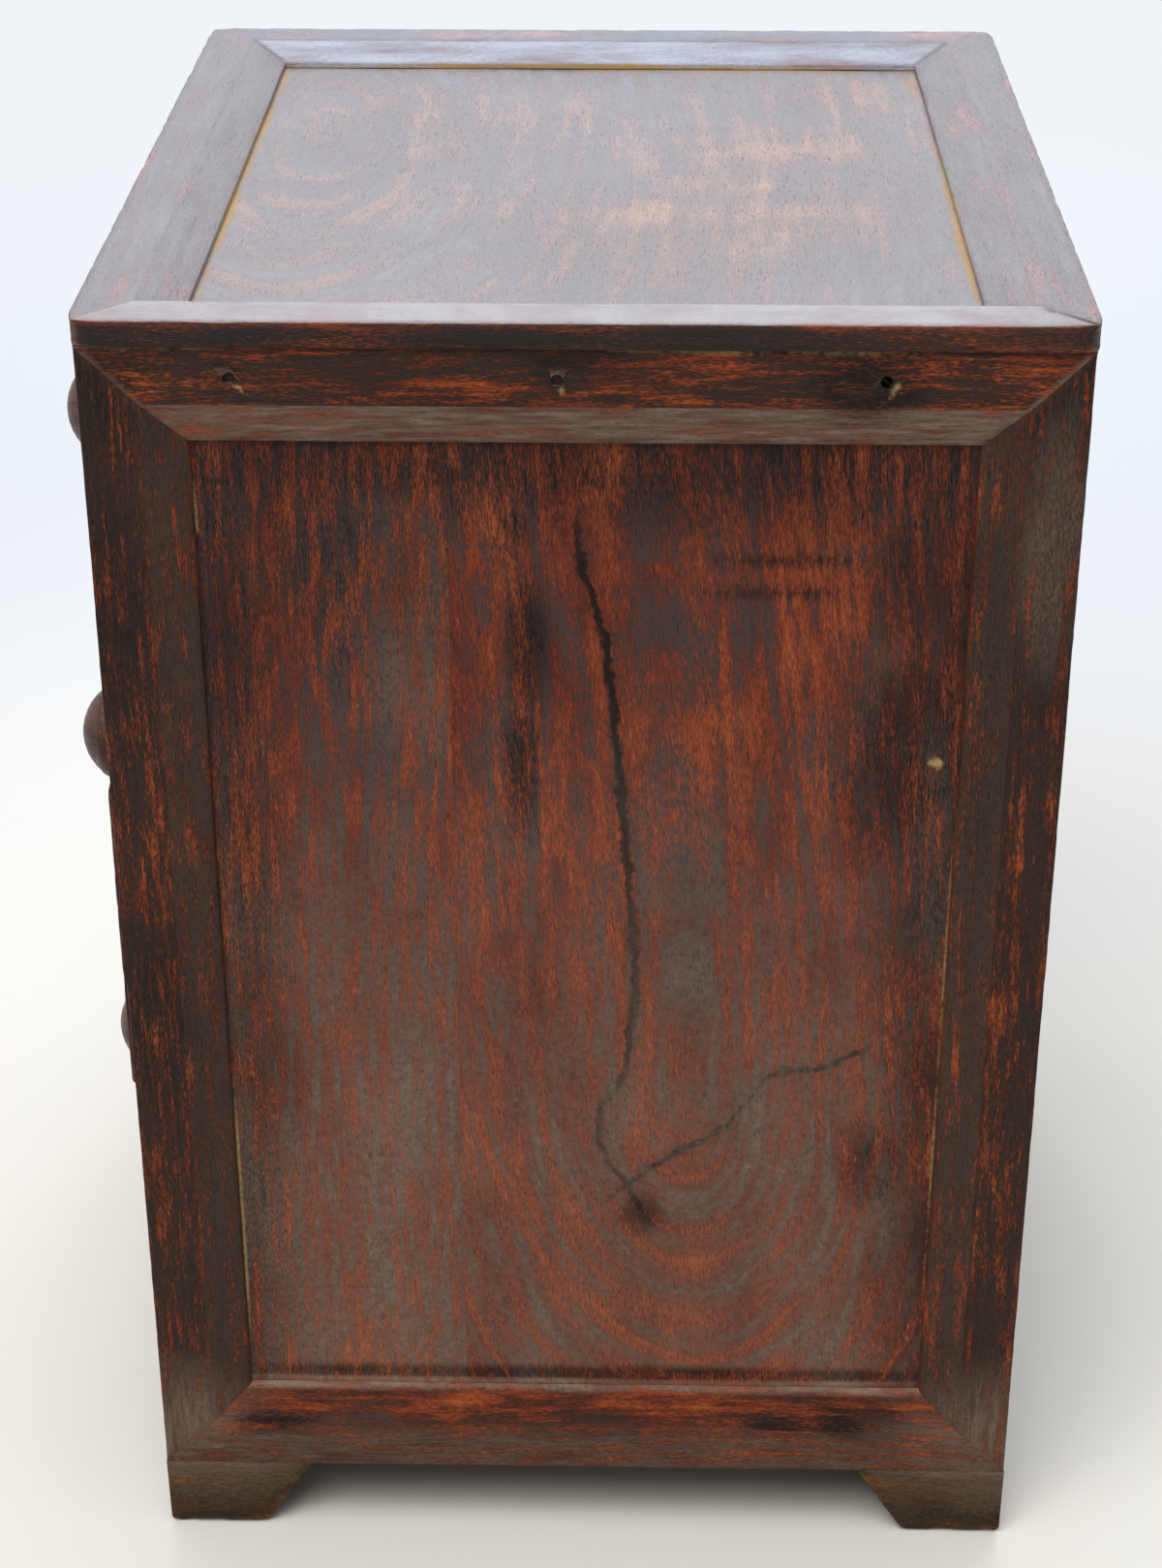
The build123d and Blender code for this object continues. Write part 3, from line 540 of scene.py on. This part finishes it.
for side, out in (("right", 1), ("left", -1)):
    for part, (pith, rise, ring) in panel_piths.items():
        seed += 1
        name = f"{side}_panel_{part}_board"
        low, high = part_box(name)
        if part == "front":
            high.y = seam
        else:
            low.y = seam
        piece = block(name + "_wood", low, high)
        ease(seam_arris, lambda edge, run: runs(run, 2), wear=0.2)
        divide(2, wear_step)
        divide(1, wear_step)
        for gap in panel_gaps:
            inset = gap if part == "front" else -gap
            saw(Vector((0, (panel_edges[part] + inset) * mm, 0)), Y, drop=False)
            saw(Vector((0, 0, (panel_edges["top"] - gap) * mm)), Z, drop=False)
            saw(Vector((0, 0, (panel_edges["bottom"] + gap) * mm)), Z, drop=False)
        face = panel_out * out
        middle = (low.y + high.y) / 2 / mm
        # painted shade under the top rail and along the frame, with some dirt; the line at the bottom edge is
        # dirt with a painted shadow
        soil_and_shadow_spots = [((face, middle, panel_edges["top"] + 4), (9, 400, 36), 0.7)]
        soil_and_shadow_spots += [((face, middle, panel_edges["bottom"] + 3.8), (9, 400, 3), 0.75)]
        soil_and_shadow_spots += [((face, panel_edges[part], 250), (9, 24, 400), 0.6)]
        # the lower part is paler: mostly painted reflection of the floor, with some dust
        dust_and_sheen_spots = [((face, middle, 60), (30, 400, 220), 0.44)]
        dust_and_sheen_spots += [((face, middle, panel_edges["bottom"]), (9, 400, 3), 1.4)]
        rubs, silt = [], []
        if part == "front":
            soil_and_shadow_spots += [((face, -40, 330), (9, 60, 60), 0.5)]
            dust_and_sheen_spots += [((face, -27, 300), (9, 18, 60), 0.25)]
        elif side == "left":
            soil_and_shadow_spots += [((face, 62, 300), (9, 8, 40), 0.7), ((face, 90, 90), (9, 30, 26), 0.5)]
        if side == "right" and part == "front":
            silt += [((face, -81.8, 330), (9, 1.1, 12), 0.5), ((face, -81.8, 110), (9, 1.2, 62), 0.6)]
            silt += [((face, -18.5, 300), (9, 0.8, 60), 0.3)]
        elif side == "right":
            soil_and_shadow_spots += [((face, 2, 292), (9, 7, 28), 0.8), ((face, 0, 258), (9, 6, 30), 0.8)]
            soil_and_shadow_spots += [((face, -2, 325), (9, 7, 14), 0.5)]
            soil_and_shadow_spots += [((face, 103, 262), (9, 26, 46), 0.8), ((face, 104, 310), (9, 20, 40), 0.6)]
            soil_and_shadow_spots += [((face, 100, 130), (9, 16, 22), 0.6), ((face, 33, 112), (9, 9, 9), 0.55)]
            soil_and_shadow_spots += [((face, 70, 317), (9, 26, 1.8), 0.8), ((face, 66, 307), (9, 22, 1.6), 0.6)]
            rubs += [((face, 78, 324), (9, 26, 5), 0.4), ((face, 74, 312), (9, 24, 3), 0.4)]
            dust_and_sheen_spots += [((face, 103, 265), (9, 22, 50), 0.35)]
            silt += [((face, 109, 259), (9, 2.2, 2.4), 0.9), ((face, 114.8, 150), (9, 1.0, 120), 0.45)]
        age(piece, 300 + out, nick=0.15, hollow=0.3, flush=[Y if part == "front" else -Y], rubs=rubs,
            soil_and_shadow_spots=soil_and_shadow_spots, dust_and_sheen_spots=dust_and_sheen_spots, silt=silt)
        film, lean = (0.52, 0) if part == "front" else (0.42, 0.07)
        veins = black_veins if side == "right" and part == "back" else ()
        wood = rosewood("rosewood_" + name, name, 2, seed, pith, rise, ring, panel_shades, film=film,
                        spread=(24, 60), grey=panel_grey, streaky=False, lean=lean, veins=veins)
        settle(piece, "carcass", "panel_wood", wood, name)


# Front rails
# Four rails cross the front between the side frames, stub-tenoned into the stiles: one under the top, one
# over the feet, and two thin dividers between the drawers. Their front edges are worn by the hands.

inner_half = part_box("right_front_stile")[0].x
rail_arris = 0.8 * mm
rail_line = 2.4 * mm
rail_step = 2.5 * mm
for name in ("front_top_rail", "upper_divider_rail", "lower_divider_rail", "front_bottom_rail"):
    seed += 1
    low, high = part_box(name)
    low.x, high.x = -inner_half, inner_half
    piece = block(name + "_wood", low, high)
    ease(rail_arris, lambda edge, run: runs(run, 0))
    for height in (low.z + rail_line, high.z - rail_line):
        saw(Vector((0, 0, height)), Z, drop=False)
    saw(Vector((0, low.y + rail_line, 0)), Y, drop=False)
    divide(0, rail_step)
    age(piece, seed, nick=0.5, flush=(X, -X))
    wood = rosewood("rosewood_" + name, name, 0, seed, pith=(60, 35, 0), ring=3)
    settle(piece, "carcass", "frame_wood", wood, name)


# Runners and bottom
# Four runners of plain wood stand behind the dividers for the drawers to slide on, and a thin bottom
# board lies in grooves of the side frames. None of them was ever waxed.

plain_shades = ("#3f2c20", "#5a402d", "#74563c", "#8a6a4b", "#a08060")
bare_grey = "#57493b"
bare_look = {"ring": 3.5, "shades": plain_shades, "film": 0.2, "spread": (24, 150), "grey": bare_grey}


def dress(name, material):
    """Gives its material to a CAD node that is shown as it is."""
    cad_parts[name].data.materials.clear()
    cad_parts[name].data.materials.append(material)


runners = [f"{side}_{level}_runner" for side in ("right", "left") for level in ("upper", "lower")]
for name in [*runners, "bottom_board"]:
    seed += 1
    along = 0 if name == "bottom_board" else 1
    dress(name, rosewood("bare_wood_" + name, name, along, seed, gloss=0.7, **bare_look))


# Back boards
# Two upright boards close the back, nailed to the top frame and to the edge of the bottom board. They are
# sawn, not planed, and have only darkened with age.

back_shades = ("#2b1d16", "#442e22", "#5c3f2d", "#735138", "#8b6848")
sawn_arris = 0.6 * mm
board_step = 3 * mm
back_nail_hole = 2.35 * mm
back_nail_sink = 1.2 * mm
# places in mm: the outer face and the nails
back_face = 141
back_nail_heights = (37.5, nail_height)
back_nails = {"back_left_board": (-106.95, -33.05), "back_right_board": (9.97, 102.23)}
for name, nails in back_nails.items():
    seed += 1
    low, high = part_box(name)
    piece = block(name + "_wood", low, high)
    ease(sawn_arris, lambda edge, run: runs(run, 2))
    divide(2, board_step)
    divide(0, board_step)
    soil_and_shadow_spots = [((0, back_face, 375), (400, 9, 26), 0.7), ((0, back_face, 24), (400, 9, 22), 0.8)]
    for x in nails:
        for z in back_nail_heights:
            bore(piece, Vector((x * mm, high.y, z * mm)), Y, back_nail_hole, back_nail_sink)
            soil_and_shadow_spots += [((x, back_face, z), (6, 9, 9), 0.8)]
    age(piece, seed, nick=0.4, hollow=0.3, flush=(-Y,), soil_and_shadow_spots=soil_and_shadow_spots)
    wood = rosewood("sawn_wood_" + name, name, 2, seed, pith=(12, 20, 0), rise=(0.12, 0.08), ring=12,
                    shades=back_shades, grey=bare_grey, gloss=0.65)
    settle(piece, "carcass", "back_wood", wood, name)


# Top frame
# Four members mitred round the top panel, with the same slope as the side frames. Their upper part laps
# over the carcass by a little, and its corners and edges are rounded by long use. One mitre has opened.

lip = 7 * mm
core_inset = 15.3 * mm
core_depth = 14 * mm
corner_round = 8 * mm
lip_arris = 0.6 * mm
under_arris = 0.5 * mm
open_mitre = 0.7 * mm
open_reach = 14 * mm
open_depth = 2 * mm
slope_near = 10 * mm
# lines in mm from the outer corner, across the flat, down the edge and across the slope
flat_lines = (2.6, 5, 10, 14.2)
lip_lines = (2.2, 6.2)
slope_lines = (15.8, 21, 25.2)
# colours of the dust and painted sheen on the top; the far rail's bluish one is a painted reflection of the
# sky
top_dust_and_sheen = "#8c8a8d"
near_dust_and_sheen = "#9b9799"
far_dust_and_sheen = "#a3a6b1"
# the way in to the panel, the ways to both ends, the axis that the member runs along, the end where its mitre
# has opened, and the dust with painted sheen on its flat and on its slope, with their colour
top_members = {
    "top_front_rail": (Y, (X, -X), 0, None, 0.68, 0.65, top_dust_and_sheen),
    "top_back_rail": (-Y, (X, -X), 0, X, 0.66, 0.65, top_dust_and_sheen),
    "top_right_rail": (-X, (Y, -Y), 1, Y, 0.95, 0.65, near_dust_and_sheen),
    "top_left_rail": (X, (Y, -Y), 1, None, 0.34, 0.85, far_dust_and_sheen),
}
frame_boxes = [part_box(name) for name in top_members]
frame_low = Vector([min(box[0][a] for box in frame_boxes) for a in range(3)])
frame_high = Vector([max(box[1][a] for box in frame_boxes) for a in range(3)])
for name, (inward, ends, run_axis, opened, flat_dust_and_sheen, slope_dust_and_sheen, dust_and_sheen_colour) in top_members.items():
    seed += 1
    low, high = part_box(name)
    low.z = high.z - lip
    low[run_axis], high[run_axis] = frame_low[run_axis], frame_high[run_axis]
    piece = block(name + "_wood", low, high)
    corner = far_corner(low, high, Z - inward)
    across = 1 - run_axis
    score(corner, inward, flat_lines)
    score(corner, -Z, lip_lines)
    ease(corner_round, lambda edge, run: runs(run, 2) and abs(edge.verts[0].co[across] - corner[across]) < mm,
         segments=5, wear=0)
    for level, width, wear in ((high.z, lip_arris, 0.6), (low.z, under_arris, 0.2)):
        ease(width, lambda edge, run: all(abs(v.co.z - level) < hair and abs(v.co[across] - corner[across])
                                          < corner_round + mm / 2 for v in edge.verts), segments=3, wear=wear)
    saw(corner + inward * core_inset, inward, drop=False)
    pick(lambda face, centre: face.normal.z < -0.9 and (centre - corner).dot(inward) > core_inset, "FACE")
    bpy.ops.mesh.extrude_region_move(TRANSFORM_OT_translate={"value": -Z * core_depth})
    bpy.ops.object.mode_set(mode="OBJECT")
    saw(corner + inward * flat_width, Z * slope_width + inward * slope_depth)
    score(corner, inward, slope_lines)
    groove(corner, Z, inward)
    ease(slope_arris, lambda edge, run: runs(run, run_axis)
         and edge.verts[0].co.z > high.z - slope_depth - mm
         and (edge.verts[0].co - corner).dot(inward) > slope_near, wear=0.4)
    for end in ends:
        saw(far_corner(low, high, end - inward), inward + end)
        if end == opened:
            ease(open_mitre, lambda edge, run: any(face.normal.dot((inward + end).normalized()) > 0.99
                 for face in edge.link_faces) and all((v.co - corner).dot(inward) < open_reach
                 and v.co.z > high.z - open_depth for v in edge.verts), segments=1, wear=0)
    divide(run_axis, wear_step)
    # the lip's outer face is painted darker all along its length
    lip_darkening = Vector((400, 400, 4.5))
    lip_darkening[across] = 3
    soil_and_shadow_spots = [((corner.x / mm, corner.y / mm, 377.5), lip_darkening, 0.9), ((141, 142, 380), (9, 9, 9), 0.6)]
    silt = [((20, 116.2, 376.5), (118, 1.5, 1.5), 0.8), ((-114.6, 15, 376.5), (1.5, 125, 1.5), 0.8)]
    silt += [((0, -83, 376.5), (125, 1.5, 1.5), 0.8)]
    age(piece, 200, nick=0.5, upward_dust_and_sheen=flat_dust_and_sheen, flush=[(inward + end).normalized() for end in ends],
        leaning_dust_and_sheen=[(inward, slope_dust_and_sheen)], soil_and_shadow_spots=soil_and_shadow_spots, silt=silt, dents=[((73, 135, 382), 2.2, 0.8)])
    wood = rosewood("rosewood_" + name, name, run_axis, seed, bias=-0.04, film=0.7, gloss=0.45, shine=0.2,
                    dust_and_sheen_colour=dust_and_sheen_colour, speckle=0.4)
    settle(piece, "carcass", "frame_wood", wood, name)


# Top panel
# One wide flat-sawn board lies loose in the groove of the top frame, its face sunk below the frame. The
# wax has gone dull and grey, painted paler still as sheen, and is rubbed through to the orange wood in
# places.

top_shades = ("#20130d", "#3a2214", "#57331c", "#754a29", "#8f6338")
top_step = 2.5 * mm
# in mm: the panel's edges at the frame, and how far in from these dust gathers
top_edges = ((X, 114.7), (-X, 114.7), (Y, 116.25), (-Y, 83.15))
top_gaps = (0.6, 2)
name = "top_panel"
seed += 1
low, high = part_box(name)
piece = block(name + "_wood", low, high)
divide(0, top_step)
divide(1, top_step)
for gap in top_gaps:
    for way, edge in top_edges:
        saw(way * (edge - gap) * mm, way, drop=False)
silt = [((60, 116, 376), (140, 2.6, 9), 0.6), ((-96, 115, 376), (24, 5, 9), 0.36)]
silt += [((-114.4, 15, 376), (2.6, 300, 9), 0.6), ((0, -83, 376), (300, 2.6, 9), 0.6)]
# the near part of the top is paler: dust with painted sheen
dust_and_sheen_spots = [((141, 16, 376), (52, 400, 9), 0.95)]
rubs = [((10, 70, 376), (90, 46, 9), 0.4), ((55, 30, 376), (60, 50, 9), 0.35)]
rubs += [((-73, 85, 376), (34, 24, 9), 0.35), ((-40, -40, 376), (50, 40, 9), 0.2)]
rubs += [((29, -40, 376), (4, 3, 9), 0.8)]
age(piece, seed, nick=0, hollow=0.4, upward_dust_and_sheen=0.75, rubs=rubs, dust_and_sheen_spots=dust_and_sheen_spots, silt=silt)
wood = rosewood("rosewood_" + name, name, 0, seed, pith=(-6, -80, -40), rise=(0.3, 0.3), spread=(46, 26),
                shades=top_shades, film=0.55, gloss=0.45, shine=0.2, dust_and_sheen_colour=top_dust_and_sheen, speckle=0.3)
settle(piece, "carcass", "panel_wood", wood, name)


# Feet
# Two short brackets are mitred together under each corner, with a slanted inner end, and pegged to the
# frame above. They are the most knocked and the dirtiest pieces of the chest.

foot_toe = 30 * mm
foot_length = 45 * mm
foot_shades = ("#1c140d", "#33230f", "#4a3018", "#634120", "#80552c")
foot_grey = "#43382b"
foot_arris = 2.4 * mm
for side, out in (("right", X), ("left", -X)):
    for end, fore in (("front", -Y), ("back", Y)):
        for part, face, run, run_axis in (("side", out, -fore, 1), ("end", fore, -out, 0)):
            seed += 1
            name = f"{side}_{end}_foot_{part}_bracket"
            low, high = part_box(name)
            piece = block(name + "_wood", low, high)
            corner = far_corner(low, high, face - run)
            corner.z = low.z
            slant = run * (high.z - low.z) - Z * (foot_length - foot_toe)
            saw(corner + run * foot_toe, slant)
            ease(foot_arris, lambda edge, way: abs(way.z) < 0.01 * way.length
                 and edge.verts[0].co.z < low.z + mm or abs(way[run_axis]) > 0.1 * way.length
                 and abs(way.z) > 0.1 * way.length)
            saw(corner, -face - run)
            divide(run_axis, wear_step)
            place = corner / mm
            age(piece, seed, nick=0.7, hollow=0.3, flush=(Z, (-face - run).normalized()),
                soil_and_shadow_spots=[((place.x, place.y, 0), (60, 60, 12), 0.4)],
                dust_and_sheen_spots=[((place.x, place.y, 16), (60, 60, 22), 0.32)])
            wood = rosewood("rosewood_" + name, name, run_axis, seed, shades=foot_shades, film=0.72,
                            grey=foot_grey, gloss=0.6)
            settle(piece, "carcass", "frame_wood", wood, name)


# Nails and pegs
# Hand-cut iron nails, rusted dark, hold the top, the runners and the back, and wooden pegs stand in the
# feet. Only the sunk heads of the nails can be seen.

rust_size = 1.2 * mm
rust_depth = 0.2 * mm
iron, tree = blank("rusted_iron")
place = node(tree, "TexCoord", {})["Object"]
rust = node(tree, "TexNoise", {"Vector": place, "Scale": 1 / rust_size, "Detail": 4, "Roughness": 0.65})[0]
rust_colour = node(tree, "ValToRGB", {0: rust}, [(0.35, "#15110f"), (0.52, "#2d1d15"), (0.7, "#54311d")])[0]
rust_rough = node(tree, "MapRange", {0: rust, 1: 0.3, 2: 0.7, 3: 0.55, 4: 0.95})[0]
rust_bump = node(tree, "Bump", {"Height": rust, "Strength": 0.8, "Distance": rust_depth})[0]
shader = node(tree, "BsdfPrincipled", {
    "Base Color": rust_colour, "Roughness": rust_rough, "Normal": rust_bump, "Metallic": 0.35})[0]
node(tree, "OutputMaterial", {"Surface": shader})
for name in ("top_nails", "runner_nails", "back_nails"):
    dress(name, iron)
seed += 1
pegs = rosewood("bare_wood_foot_pegs", "foot_pegs", 2, seed, shades=plain_shades, grey=bare_grey, gloss=0.7)
dress("foot_pegs", pegs)


# Drawers
# Each drawer has a rosewood front, dovetailed to two plain sides, with a back housed between them and a
# thin bottom slid into grooves from behind. The knob is turned from rosewood, and its spigot is glued into
# a hole through the front.

front_arris = 1.2 * mm
front_thickness = 12 * mm
spigot_hole = 4.1 * mm
joint_room = 0.08 * mm
knob_sides = 48
knob_tip = 0.2 * mm
# in mm: how far a knob reaches, and its radius and rise above the drawer front, from the spigot's end up
knob_reach = 30
knob_turning = ((4, -12), (4, 0), (9, 0), (9, 1.3), (7.6, 2.5), (6.6, 5), (6.35, 7.5), (6.5, 9), (7.3, 12),
                (8.7, 14.8), (11, 17.2), (13, 18.5), (14.2, 20), (14.6, 21.3), (14.4, 22.6), (13.7, 23.8),
                (13, 24.3), (11.5, 25.9), (9.5, 27.5), (7.5, 28.7), (5, 29.7), (2.5, 30.3))
drawer_shades = ("#1f120e", "#3b1b13", "#57281b", "#6f3621", "#8a4e2c")
knob_shades = ("#1c120d", "#361f17", "#4d2d20", "#613b29", "#7a5238")
for drawer in ("top", "middle", "bottom"):
    body = drawer + "_drawer"
    for part, along in (("right_side", 1), ("left_side", 1), ("back", 0), ("bottom", 0)):
        seed += 1
        board = f"{body}_{part}"
        dress(board, rosewood("bare_wood_" + board, board, along, seed, gloss=0.65, **bare_look))

    seed += 1
    name = body + "_front"
    low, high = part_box(name)
    piece = block(name + "_wood", low, high)
    ease(front_arris, lambda edge, run: all(abs(v.co.y - low.y) < hair for v in edge.verts), segments=3)
    divide(0, board_step)
    divide(2, board_step)
    for part in ("right_side", "left_side", "bottom"):
        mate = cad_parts[f"{body}_{part}"].copy()
        mate.data = mate.data.copy()
        bpy.context.scene.collection.objects.link(mate)
        take(mate)
        bpy.ops.object.mode_set(mode="EDIT")
        bpy.ops.mesh.select_all(action="SELECT")
        bpy.ops.mesh.remove_doubles(threshold=touching)
        bpy.ops.transform.shrink_fatten(value=joint_room)
        bpy.ops.object.mode_set(mode="OBJECT")
        cut(piece, mate)
    knob_low, knob_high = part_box(body + "_knob")
    axis = Vector((0, low.y, (knob_low.z + knob_high.z) / 2))
    bore(piece, axis, Y, spigot_hole, 2 * front_thickness, sides=32)
    face = low.y / mm
    middle = axis.z / mm
    soil_and_shadow_spots = [((0, face, middle), (26, 9, 26), 0.45), ((0, face, high.z / mm), (400, 9, 8), 0.5)]
    soil_and_shadow_spots += [((-125, face, middle), (9, 9, 90), 0.5), ((125, face, middle), (9, 9, 90), 0.5)]
    rubs = [((0, face, middle), (60, 9, 34), 0.25)]
    age(piece, seed, nick=0.35, hollow=0.2, flush=(Y,), rubs=rubs, soil_and_shadow_spots=soil_and_shadow_spots)
    wood = rosewood("rosewood_" + name, name, 0, seed, pith=(10, 30, 20), rise=(0.1, 0.06), ring=4,
                    shades=drawer_shades, film=0.4, spread=(24, 80))
    settle(piece, body, "drawer_front_wood", wood, name)

    seed += 1
    name = body + "_knob"
    bpy.ops.object.select_all(action="DESELECT")
    first_radius, first_rise = knob_turning[0]
    bpy.ops.mesh.primitive_circle_add(vertices=knob_sides, radius=first_radius * mm, fill_type="NGON",
                                      location=axis - Y * first_rise * mm, rotation=(math.pi / 2, 0, 0))
    bpy.ops.object.transform_apply(location=True, rotation=True, scale=True)
    piece = bpy.context.object
    piece.name = piece.data.name = name + "_wood"
    piece.vertex_groups.new(name="arris")
    bpy.ops.object.mode_set(mode="EDIT")
    bpy.ops.mesh.select_mode(type="FACE")
    bpy.ops.mesh.select_all(action="SELECT")
    for (thin, back), (wide, rise) in zip(knob_turning, knob_turning[1:]):
        bpy.ops.mesh.extrude_region_move(TRANSFORM_OT_translate={"value": -Y * (rise - back) * mm})
        bpy.ops.transform.resize(value=(wide / thin, 1, wide / thin), center_override=axis - Y * rise * mm)
    bpy.ops.mesh.extrude_region_move(TRANSFORM_OT_translate={"value": -Y * knob_tip})
    bpy.ops.mesh.merge(type="CENTER")
    bpy.ops.mesh.select_all(action="SELECT")
    bpy.ops.mesh.normals_make_consistent(inside=False)
    bpy.ops.object.mode_set(mode="OBJECT")
    age(piece, seed, hollow=0.12, rubs=[((0, face - knob_reach, middle), (17, 12, 17), 0.35)],
        soil_and_shadow_spots=[((0, face, middle), (16, 12, 16), 0.8)])
    wood = rosewood("rosewood_" + name, name, 1, seed, pith=(14, 12, 0), ring=4, shades=knob_shades,
                    film=0.45, gloss=0.4, shine=0.2)
    settle(piece, body, "knob_wood", wood, name)


# Floor, light and camera
# A plain pale floor that goes white in the distance, large soft lights behind, overhead and near the camera,
# faint light all round, and the camera at the height and turn of the photograph.

# the floor's colour is painted darker away from the chest, as shade
floor_near = "#d8d4ca"
floor_far_shaded = "#c0c2c4"
room_white = "#eff4f8"
room_level = 0.3
# in metres: the floor's size, and from where to where it is painted darker, as shade, and goes white
floor_size = 12
floor_shade_start, floor_shade_end = 0.1, 0.8
white_start, white_end = 0.5, 1.6


def looked_at(tree):
    """One on the rays of the camera, of mirrors and of glass, and nought on those that only bring light."""
    ray = node(tree, "LightPath", {})
    seen = node(tree, "Math", {0: ray["Is Camera Ray"], 1: ray["Is Glossy Ray"]}, operation="MAXIMUM")[0]
    return node(tree, "Math", {0: seen, 1: ray["Is Transmission Ray"]}, operation="MAXIMUM")[0]


bpy.ops.object.select_all(action="DESELECT")
bpy.ops.mesh.primitive_plane_add(size=floor_size, location=(0, 0, 0))
floor = bpy.context.object
floor.name = "floor"
plain, tree = blank("pale_floor")
place = node(tree, "TexCoord", {})["Object"]
distance = node(tree, "VectorMath", {0: place}, operation="LENGTH")["Value"]
far = node(tree, "MapRange", {0: distance, 1: floor_shade_start, 2: floor_shade_end}, interpolation_type="SMOOTHSTEP")[0]
floor_colour = node(tree, "Mix", {0: far, 6: tone(floor_near), 7: tone(floor_far_shaded)}, data_type="RGBA")[2]
lit = node(tree, "BsdfPrincipled", {
    "Base Color": floor_colour, "Roughness": 0.8, "Specular IOR Level": 0.2})[0]
vanish = node(tree, "MapRange", {0: distance, 1: white_start, 2: white_end},
              interpolation_type="SMOOTHSTEP")[0]
vanish = node(tree, "Math", {0: vanish, 1: looked_at(tree)}, operation="MULTIPLY")[0]
white = node(tree, "Emission", {"Color": tone(room_white), "Strength": 1.0})[0]
surface = node(tree, "MixShader", {0: vanish, 1: lit, 2: white})[0]
node(tree, "OutputMaterial", {"Surface": surface})
floor.data.materials.append(plain)

world = bpy.data.worlds.new("soft_room")
bpy.context.scene.world = world
world.use_nodes = True
room = world.node_tree
room.nodes.clear()
level = node(room, "MapRange", {0: looked_at(room), 3: room_level, 4: 1.0})[0]
air = node(room, "Background", {"Color": tone(room_white), "Strength": level})[0]
node(room, "OutputWorld", {"Surface": air})


def soft_light(name, place, aim, size, power, tint):
    """A large square soft light, turned to the chest."""
    bpy.ops.object.light_add(type="AREA", location=place)
    lamp = bpy.context.object
    lamp.name = name
    lamp.data.shape = "SQUARE"
    lamp.data.size = size
    lamp.data.energy = power
    lamp.data.color = tone(tint)[:3]
    lamp.rotation_euler = (Vector(aim) - Vector(place)).to_track_quat("-Z", "Y").to_euler()


soft_light("back_panel", (-1.7, 0.1, 1.25), (0, 0, 0.3), 1.8, 36, "#f0f4ff")
soft_light("sky_panel", (0.1, 0, 2.1), (0, 0, 0), 2.4, 30, "#f4f7ff")
soft_light("fill_panel", (1.1, -0.45, 1.95), (0, 0, 0.2), 1.3, 34, "#ffffff")

# the photograph's camera: its height and focal length in pixels, its place in metres and its turn in radians
photo_height = 1619
focal = 3110.58
film_height = 36
camera_place = (0.83503, 0.03060, 0.62838)
yaw, pitch, roll = 0.0212419, 0.4927694, -0.0012327
forward = Vector((-math.cos(yaw) * math.cos(pitch), -math.sin(yaw) * math.cos(pitch), -math.sin(pitch)))
right = forward.cross(Z).normalized()
up = right.cross(forward)
turned_right = math.cos(roll) * right + math.sin(roll) * up
turned_up = -math.sin(roll) * right + math.cos(roll) * up
bpy.ops.object.camera_add()
camera = bpy.context.object
turn = Matrix((turned_right, turned_up, -forward)).transposed().to_4x4()
camera.matrix_world = Matrix.Translation(camera_place) @ turn
camera.data.sensor_width = film_height
camera.data.lens = focal * film_height / photo_height
camera.data.clip_start, camera.data.clip_end = 0.01, 100
bpy.context.scene.camera = camera
bpy.context.scene.view_settings.view_transform = "Standard"
